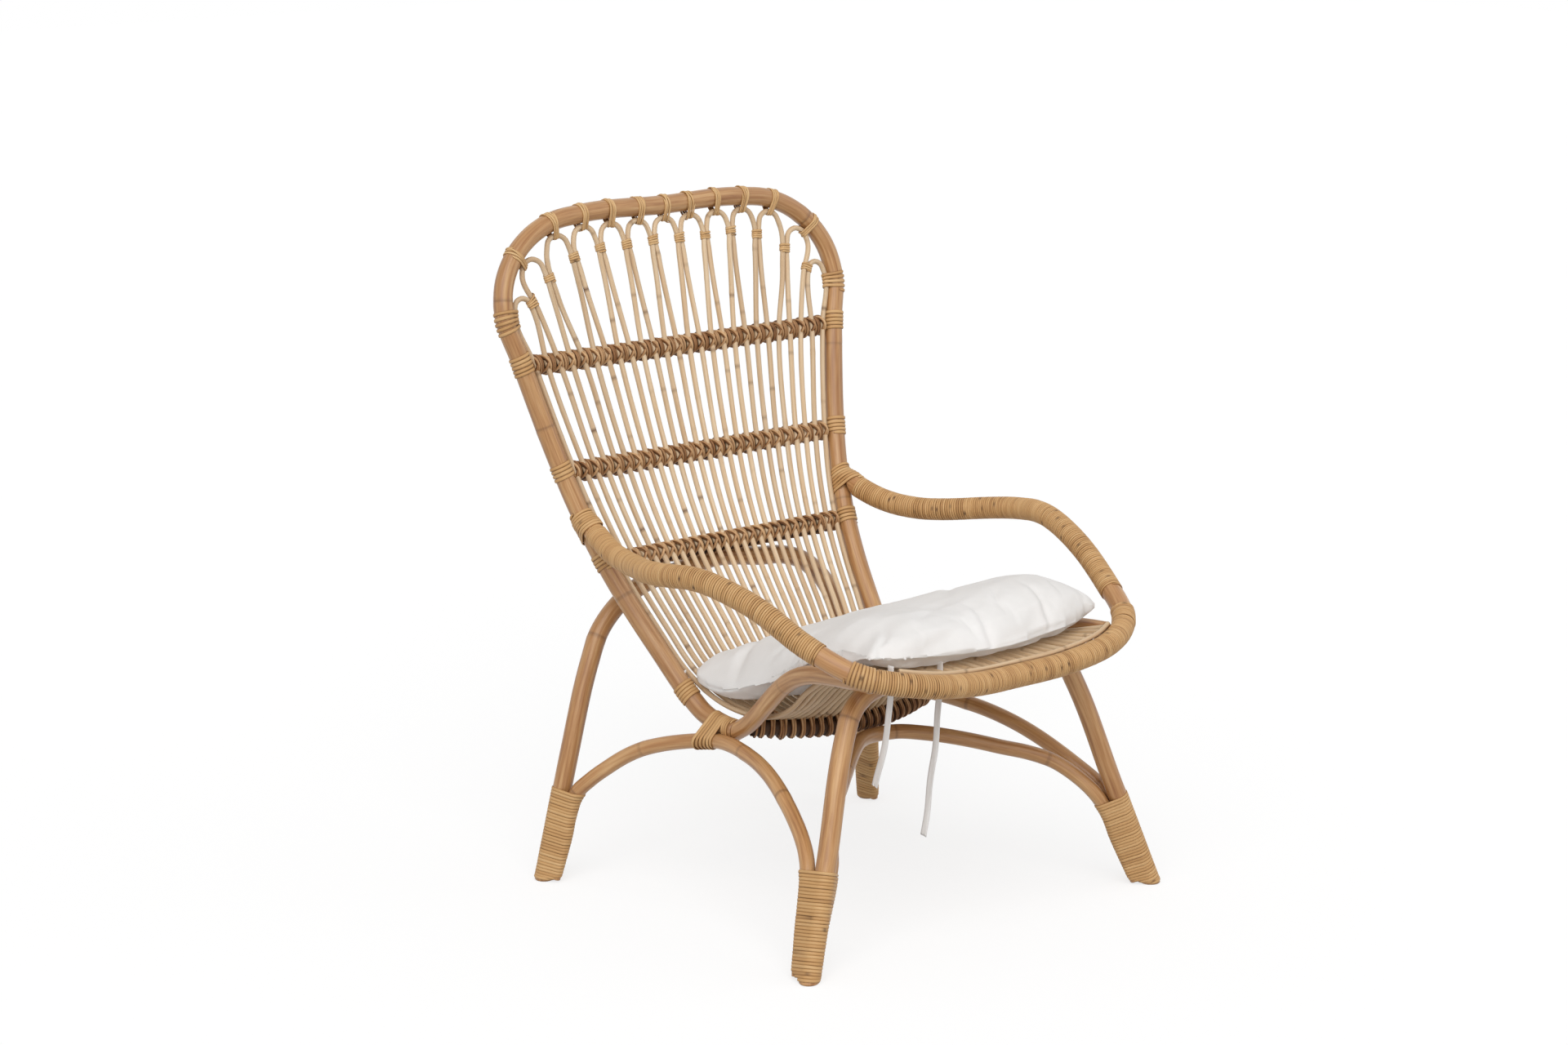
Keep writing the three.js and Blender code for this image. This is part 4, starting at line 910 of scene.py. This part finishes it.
def add_frapping():
    """Turns that run lengthwise between the two poles of each seat joint."""
    back = poles["back_frame"]
    for side in SIDES:
        arch = poles[f"side_arch_{side}"]
        start, end = back.span(f"seat_joint_binding_{side}")
        middle, along = (rows[0] for rows in back.at(np.array([(start + end) / 2]))[:2])
        under = arch.points[closest(arch.points, middle[None])[0]]
        down = unit(under - middle)
        across = unit(np.cross(along, down))
        centre = under - FRAPPING_RAISE * arch.radius[0] * down
        turn = 2 * np.pi * np.linspace(0, FRAPPING_TURNS, FRAPPING_TURNS * FRAPPING_STEPS + 1)
        lengthwise = (end - start) / 2 * squared_off(np.cos(turn))
        sideways = (arch.radius[0] + FRAPPING_CLEARANCE) * squared_off(np.sin(turn))
        drop = FRAPPING_DROP * (turn / turn[-1] - 0.5)
        path = centre + np.outer(lengthwise, along) + np.outer(sideways, across) + np.outer(drop, down)
        out = turned(turn, along, across)
        tone = 0.55 + 0.2 * wavering(turn, 2.0, 3.0)
        shape = Shape(f"frapping {side}")
        strand(shape, path, out, *FRAPPING_STRAND, tone)
        shape.piece(f"seat_joint_frapping_{side}", SPLIT_FINISH)


add_loop_wraps()
add_pair_bindings()
add_tail_wraps()
add_frapping()


# Lashings: round a bar between the canes, and three times slantwise over each cane
BACK_LASHING_STRAND = (0.0048, 0.0046, 0.0030)
SEAT_LASHING_STRAND = (0.0039, 0.0036, 0.0022)
LASHING_STEPS = 32
LASHING_EDGE = 0.003
LASHING_GAP = 0.0003
LASHING_LIFT = 0.15
LASHING_LOOSE = 0.12
BARREL_BULGE = 0.0042
BARREL_FULLNESS = 0.6
CROSSING_START = 0.27
CROSSING_END = 0.73
CROSSING_LEAST = 0.0005
LAYER_STEP = 0.0012
LASHING_TONE = 0.45
LASHING_SHADE = 0.35
# Paler strand where it crosses over a cane: painted light on the outermost turns
CROSSING_PAINTED_LIGHT = 0.15


def cane_crossings(bar):
    """Each cane leg's place along a bar, its direction and distance from there, and its radius."""
    found = []
    for cane in canes.values():
        top = loop_top(cane)
        for leg in (cane.along < top, cane.along > top):
            points = cane.points[leg]
            i, j = closest(points, bar.points)
            off = points[i] - bar.points[j]
            off = off - bar.way[j] * (off @ bar.way[j])
            found.append((bar.along[j], unit(off), np.linalg.norm(off), cane.radius[0]))
    return sorted(found, key=lambda crossing: crossing[0])


def lashing_turns(bar, crossings, pitch):
    """Turn by turn: the places along a bar, and how far the strand stands out all round and over a cane."""
    t = np.arange(LASHING_STEPS) / LASHING_STEPS
    flat = np.zeros(LASHING_STEPS)
    slant = eased(t, CROSSING_START, CROSSING_END)
    front = np.maximum(0, -np.cos(2 * np.pi * t))
    lefts = [LASHING_EDGE] + [place + radius for place, _, _, radius in crossings]
    rights = [place - radius for place, _, _, radius in crossings] + [bar.length - LASHING_EDGE]
    gaps = []
    for left, right in zip(lefts, rights):
        count = max(1, int((right - left) / pitch))
        half = count * pitch / 2
        gaps.append(((left + right) / 2 - half, (left + right) / 2 + half, count))
    turns = []
    for k, (low, high, count) in enumerate(gaps):
        for turn in range(count):
            share = (turn + t) / count
            bulge = BARREL_BULGE * np.sin(np.pi * share) ** BARREL_FULLNESS
            turns.append((low + (high - low) * share, bulge, flat))
        if k < len(crossings):
            _, _, away, radius = crossings[k]
            over = away + radius - bar.radius[0]
            step = gaps[k + 1][0] - high
            for layer, (start, way) in enumerate(((high, step), (high + step, -step), (high, step))):
                turns.append((start + way * slant, LAYER_STEP * layer + flat, over * front))
    return [np.concatenate(rows) for rows in zip(*turns)]


def add_lashing(node, seed_word, bar, size):
    pitch, width, thickness = size
    shape = Shape(seed_word)
    crossings = cane_crossings(bar)
    facing = np.mean([toward for _, toward, _, _ in crossings], axis=0)
    places, bulges, bumps = lashing_turns(bar, crossings, pitch)
    number = np.arange(len(places)) / LASHING_STEPS
    angle = 2 * np.pi * number + np.pi
    centre, way, _, _, radius = bar.at(places)
    face = square_to(way, facing)
    seed = shape.rng.uniform(0, 90)
    out = turned(angle, face, np.cross(way, face))
    lift = radius + bulges + LASHING_GAP + LASHING_LIFT * thickness * (1 + wavering(number, 0.6, seed))
    path = centre + lift[:, None] * out + bumps[:, None] * face
    path += LASHING_LOOSE * pitch * wavering(number, 0.9, seed + 5)[:, None] * way
    tone = LASHING_TONE + LASHING_SHADE * wavering(number, 1.2, seed + 9)
    # The crossings over the canes are made paler: painted light
    tone += CROSSING_PAINTED_LIGHT * (bumps > CROSSING_LEAST)
    strand(shape, path, out, width, thickness, tone)
    shape.piece(f"{node}_strands", LASHING_FINISH, [node])


def add_lashings():
    for height in HEIGHTS:
        add_lashing(f"back_lashing_{height}", height, poles[f"back_bar_{height}"], BACK_LASHING_STRAND)
    add_lashing("seat_lashing", "seat", poles["seat_cross_bar"], SEAT_LASHING_STRAND)


add_lashings()


# Cushion: swollen by a cloth simulation, then shaped
CUSHION_VOXEL = 0.006
CUSHION_START_INSET = 0.004
CUSHION_MOST_MOVE = 0.009
CUSHION_CLOTH = {
    "quality": 5, "mass": 0.3, "tension_stiffness": 12, "compression_stiffness": 12, "shear_stiffness": 5,
    "bending_stiffness": 0.4, "use_pressure": True, "uniform_pressure_force": 4.0,
}
CORNER_MERGE = 1e-5
CLOTH_FRAMES = 20


def set_points(mesh, points):
    mesh.vertices.foreach_set("co", points.astype(np.float32).ravel())
    mesh.update()


def cushion_start():
    """The CAD cushion, a little smaller and cut into even quads."""
    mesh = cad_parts["cushion"].data.copy()
    mesh.materials.clear()
    work = bmesh.new()
    work.from_mesh(mesh)
    bmesh.ops.remove_doubles(work, verts=work.verts, dist=CORNER_MERGE)
    work.normal_update()
    for v in work.verts:
        v.co -= CUSHION_START_INSET * v.normal
    work.to_mesh(mesh)
    work.free()
    obj = placed("seat_cushion", mesh)
    remesh = obj.modifiers.new("remesh", "REMESH")
    remesh.mode = "VOXEL"
    remesh.voxel_size = CUSHION_VOXEL
    applied(obj)
    return obj


def applied(obj):
    """Turns an object's modifiers into its mesh."""
    ready = obj.evaluated_get(bpy.context.evaluated_depsgraph_get())
    mesh = bpy.data.meshes.new_from_object(ready)
    obj.modifiers.clear()
    obj.data = mesh


def inflate(obj):
    """Swells the cushion with air, as its filling does, and caps how far each point may go."""
    rest = stored(obj.data.vertices, "co")
    cloth = obj.modifiers.new("cloth", "CLOTH")
    for setting, value in CUSHION_CLOTH.items():
        setattr(cloth.settings, setting, value)
    cloth.settings.effector_weights.gravity = 0.0
    for step in range(1, CLOTH_FRAMES + 1):
        scene.frame_set(step)
    ready = obj.evaluated_get(bpy.context.evaluated_depsgraph_get())
    moved = stored(ready.data.vertices, "co") - rest
    obj.modifiers.clear()
    scene.frame_set(1)
    far = np.linalg.norm(moved, axis=1, keepdims=True)
    set_points(obj.data, rest + moved * np.minimum(1, CUSHION_MOST_MOVE / np.maximum(far, 1e-9)))


# Its swells and hollows: place, spread and height
CUSHION_SWELLS = ((0.17, -0.29, 0.11, 0.010), (-0.03, -0.25, 0.08, -0.016), (-0.15, -0.26, 0.08, -0.006),
                  (0.06, -0.30, 0.05, 0.003), (0.10, -0.12, 0.12, 0.004), (-0.10, -0.05, 0.10, -0.003))
# Its puckers: place, turn in radians, length, width and depth
PUCKERS = ((-0.01, -0.325, 1.25, 0.045, 0.007, 0.004), (0.05, -0.3, 1.0, 0.035, 0.006, 0.003),
           (0.11, -0.335, 1.45, 0.04, 0.006, 0.0032), (0.17, -0.3, 1.1, 0.03, 0.005, 0.0022),
           (-0.12, -0.345, 0.15, 0.06, 0.006, 0.0026), (-0.20, -0.32, 0.7, 0.035, 0.006, 0.003),
           (-0.08, -0.29, 0.5, 0.04, 0.007, 0.0024), (0.03, -0.355, 0.1, 0.05, 0.005, 0.002),
           (-0.16, -0.11, 1.9, 0.045, 0.007, 0.0032), (-0.15, 0.02, 0.5, 0.045, 0.007, 0.0034),
           (-0.11, 0.07, 0.1, 0.04, 0.006, 0.0024), (0.14, 0.03, 2.6, 0.045, 0.007, 0.0034),
           (0.15, -0.12, 1.3, 0.045, 0.007, 0.003), (0.02, -0.08, 0.3, 0.07, 0.009, 0.0026),
           (-0.03, 0.06, 1.6, 0.045, 0.007, 0.0026), (0.07, -0.18, 0.8, 0.06, 0.008, 0.0024))
# Its creases, lumps and seam
CREASE_DEPTH = 0.0026
CREASE_RATE = 5.0
CREASE_CLIMB = 6.0
LUMP_DEPTH = 0.0018
LUMP_RATE = 14.0
FINE_LUMP_RATE = 31.0
SEAM_DEPTH = 0.0022
SEAM_FACING = -0.25
SEAM_SPREAD = 0.15
# Its slack: drops and spreads
FRONT_EDGE_HOLD = 0.9
LEFT_DROP = 0.024
RIGHT_DROP = 0.006
FRONT_NARROWING = 0.010
WAIST_DROP = 0.022
WAIST_PLACE = -0.11
WAIST_SPREAD = 0.09
REAR_DROP = 0.020
EAR_RISE = 0.008
EAR_SPREAD = 0.012
EAR_LENGTH = 0.008
POCKET_PLACE = 0.04
POCKET_SPREAD = 0.10
SIDE_SAG = 0.026
SIDE_SPREAD = 0.014
FRONT_BOW = 0.014
FRONT_SAG = 0.008
# The woven seat that it rests on
ROW_DEPTH = 0.02
SEAT_MOST_HEIGHT = 0.46
SEAT_BACK = 0.09
SEAT_GAP = 0.0055
SEAT_SOFTNESS = 0.002


def seat_tops(points):
    """The height of the woven seat under each point."""
    spots = np.concatenate([cane.points for cane in canes.values()])
    spots = spots[(spots[:, 2] < SEAT_MOST_HEIGHT) & (spots[:, 1] < SEAT_BACK)]
    rows = np.round(spots[:, 1] / ROW_DEPTH).astype(int)
    places = np.unique(rows)
    tops = [spots[rows == row, 2].mean() + SEAT_GAP for row in places]
    return np.interp(points[:, 1], places * ROW_DEPTH, tops)


def creases(points, normals):
    """How deep each point lies in the creases that run in from the rim, and in the puckers of the top."""
    x, y, z = points.T
    around = np.arctan2(y - y.mean(), 1.2 * (x - x.mean()))
    rim = np.clip(1.15 - np.abs(normals[:, 2]), 0, 1)
    rounds = CREASE_RATE * np.column_stack([np.cos(around), np.sin(around)])
    folds = np.array([noise.noise((*spot, height)) for spot, height in zip(rounds, CREASE_CLIMB * z)])
    depth = CREASE_DEPTH * rim * (folds - 0.2)
    for place_x, place_y, turn, length, width, deep in PUCKERS:
        dx, dy = x - place_x, y - place_y
        along = dx * math.cos(turn) + dy * math.sin(turn)
        across = dy * math.cos(turn) - dx * math.sin(turn)
        across = across + 0.25 * width * np.sin(along / length * 4.0)
        ridge = bell(across, width) - 0.6 * bell(across - 2.2 * width, 1.3 * width)
        depth -= deep * ridge * bell(along, length) * (normals[:, 2] > 0)
    return depth


def filled(points, normals, upper):
    """Uneven filling, lumps, creases and a seam."""
    rise = sum(height * bell(np.hypot(points[:, 0] - x, points[:, 1] - y), spread)
               for x, y, spread, height in CUSHION_SWELLS)
    lumps = np.array([noise.noise(p * LUMP_RATE) + 0.5 * noise.noise(p * FINE_LUMP_RATE)
                      for p in map(Vector, points)])
    seam = bell(normals[:, 2] - SEAM_FACING, SEAM_SPREAD)
    depth = LUMP_DEPTH * lumps + creases(points, normals) - SEAM_DEPTH * seam
    points = points + depth[:, None] * normals
    points[:, 2] += upper * rise
    return points


def half_widths(points):
    """Half the cushion's width at each point's distance from its front."""
    reach = (points[:, 1] - points[:, 1].min()) / ROW_DEPTH
    rows = np.round(reach).astype(int)
    halves = [np.abs(points[rows == row, 0]).max() for row in range(rows.max() + 1)]
    return np.interp(reach, np.arange(len(halves)), halves)


def slacken(points, normals, upper):
    """Sunken sides and front corners, spread rear corners and a bowed front."""
    x, y, z = points.T
    half = half_widths(points)
    beside = np.abs(x) / half
    facing = eased(normals[:, 2], -0.6, 0.3)
    forward = eased(beside, 0.5, 1.0) * eased(-y, 0.08, 0.28)
    forward = forward * (1 - FRONT_EDGE_HOLD * eased(-y, 0.28, 0.35))
    z -= np.where(x < 0, LEFT_DROP, RIGHT_DROP) * forward * facing
    x -= FRONT_NARROWING * forward * np.sign(x)
    waist = eased(beside, 0.3, 1.0) * bell(y - WAIST_PLACE, WAIST_SPREAD)
    z -= WAIST_DROP * waist * facing
    rear = eased(y, 0.0, 0.10)
    ear = eased(beside, 0.45, 0.95)
    z += rear * facing * (EAR_RISE * ear - REAR_DROP * (1 - ear))
    x += EAR_SPREAD * rear * ear * np.sign(x)
    y += EAR_LENGTH * rear * ear
    side = eased(beside, 0.6, 1.0) * bell(y - POCKET_PLACE, POCKET_SPREAD)
    z -= SIDE_SAG * side
    x += SIDE_SPREAD * side * np.sign(x)
    front = eased(-y, 0.27, 0.365) * (1 - (x / half.max()) ** 2)
    y -= FRONT_BOW * front
    z -= FRONT_SAG * front * (1 - 0.5 * upper)


def settle(obj):
    """Fills and slackens the cushion, and lays it softly on the woven seat."""
    normals = stored(obj.data.vertex_normals, "vector")
    upper = np.clip(2.5 * normals[:, 2], 0, 1)
    points = filled(stored(obj.data.vertices, "co"), normals, upper)
    slacken(points, normals, upper)
    points[:, 2] = kept_above(points[:, 2], seat_tops(points), SEAT_SOFTNESS)
    set_points(obj.data, points)


def add_cushion():
    obj = cushion_start()
    inflate(obj)
    smooth = obj.modifiers.new("smooth", "SUBSURF")
    smooth.levels = smooth.render_levels = 1
    applied(obj)
    settle(obj)
    obj.data.polygons.foreach_set("use_smooth", [True] * len(obj.data.polygons))
    obj.data.materials.clear()
    obj.data.materials.append(CLOTH_FINISH)
    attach(obj, "cushion")
    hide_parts("cushion")


add_cushion()


# Floor, world and lamps: the camera sees white, with a soft shadow on the floor
FLOOR_SIZE = 30
FLOOR_GREY = 0.6
SHADOW_SHARE = 0.3
FLOOR_LIGHT = 0.87
WORLD_LEVEL = 0.45
SUNS = {"key": ((-0.5, -0.55, 0.7), 1.6, 55), "side": ((-0.85, -0.45, 0.3), 0.4, 70),
        "fill": ((0.7, -0.6, 0.4), 0.4, 60)}


def seen_instead(tree, light, backdrop):
    """A shader that lights the object, with the backdrop in its place for the camera, mirrors and glass."""
    path = tree.nodes.new("ShaderNodeLightPath")
    seen = path.outputs["Is Camera Ray"]
    for ray in ("Is Glossy Ray", "Is Transmission Ray"):
        either = tree.nodes.new("ShaderNodeMath")
        either.operation = "MAXIMUM"
        tree.links.new(seen, either.inputs[0])
        tree.links.new(path.outputs[ray], either.inputs[1])
        seen = either.outputs["Value"]
    mix = tree.nodes.new("ShaderNodeMixShader")
    tree.links.new(seen, mix.inputs[0])
    tree.links.new(light, mix.inputs[1])
    tree.links.new(backdrop, mix.inputs[2])
    return mix.outputs["Shader"]


def glow(tree, strength):
    node = tree.nodes.new("ShaderNodeEmission")
    fill_in(node, Strength=strength)
    return node.outputs["Emission"]


def add_floor():
    mesh = bpy.data.meshes.new("floor")
    half = FLOOR_SIZE / 2
    corners = [(-half, -half, 0), (half, -half, 0), (half, half, 0), (-half, half, 0)]
    mesh.from_pydata(corners, [], [(0, 1, 2, 3)])
    floor = placed("floor", mesh)
    finish = Finish("floor", Base_Color=grey(FLOOR_GREY), Roughness=0.9, Specular_IOR_Level=0.0)
    matt = finish.node("BsdfDiffuse")
    fill_in(matt, Color=grey(SHADOW_SHARE))
    white = finish.node("AddShader")
    finish.link(matt.outputs["BSDF"], white.inputs[0])
    finish.link(glow(finish.tree, 1 - FLOOR_LIGHT * SHADOW_SHARE), white.inputs[1])
    surface = seen_instead(finish.tree, finish.shader.outputs["BSDF"], white.outputs["Shader"])
    finish.link(surface, finish.tree.nodes["Material Output"].inputs["Surface"])
    mesh.materials.append(finish.material)


def add_world():
    """Soft light from all round, before a white backdrop."""
    world = bpy.data.worlds.new("world")
    scene.world = world
    world.use_nodes = True
    tree = world.node_tree
    light = tree.nodes["Background"]
    fill_in(light, Color=grey(1.0), Strength=WORLD_LEVEL)
    surface = seen_instead(tree, light.outputs["Background"], glow(tree, 1.0))
    tree.links.new(surface, tree.nodes["World Output"].inputs["Surface"])


def add_sun(name, toward, strength, spread):
    """A sun in a given direction, as wide as a number of degrees."""
    data = bpy.data.lights.new(name, "SUN")
    data.energy = strength
    data.angle = math.radians(spread)
    lamp = placed(name, data)
    lamp.rotation_euler = Vector(toward).to_track_quat("Z", "Y").to_euler()


add_floor()
add_world()
for sun, (toward, strength, spread) in SUNS.items():
    add_sun(sun, toward, strength, spread)
scene.view_settings.view_transform = "Standard"
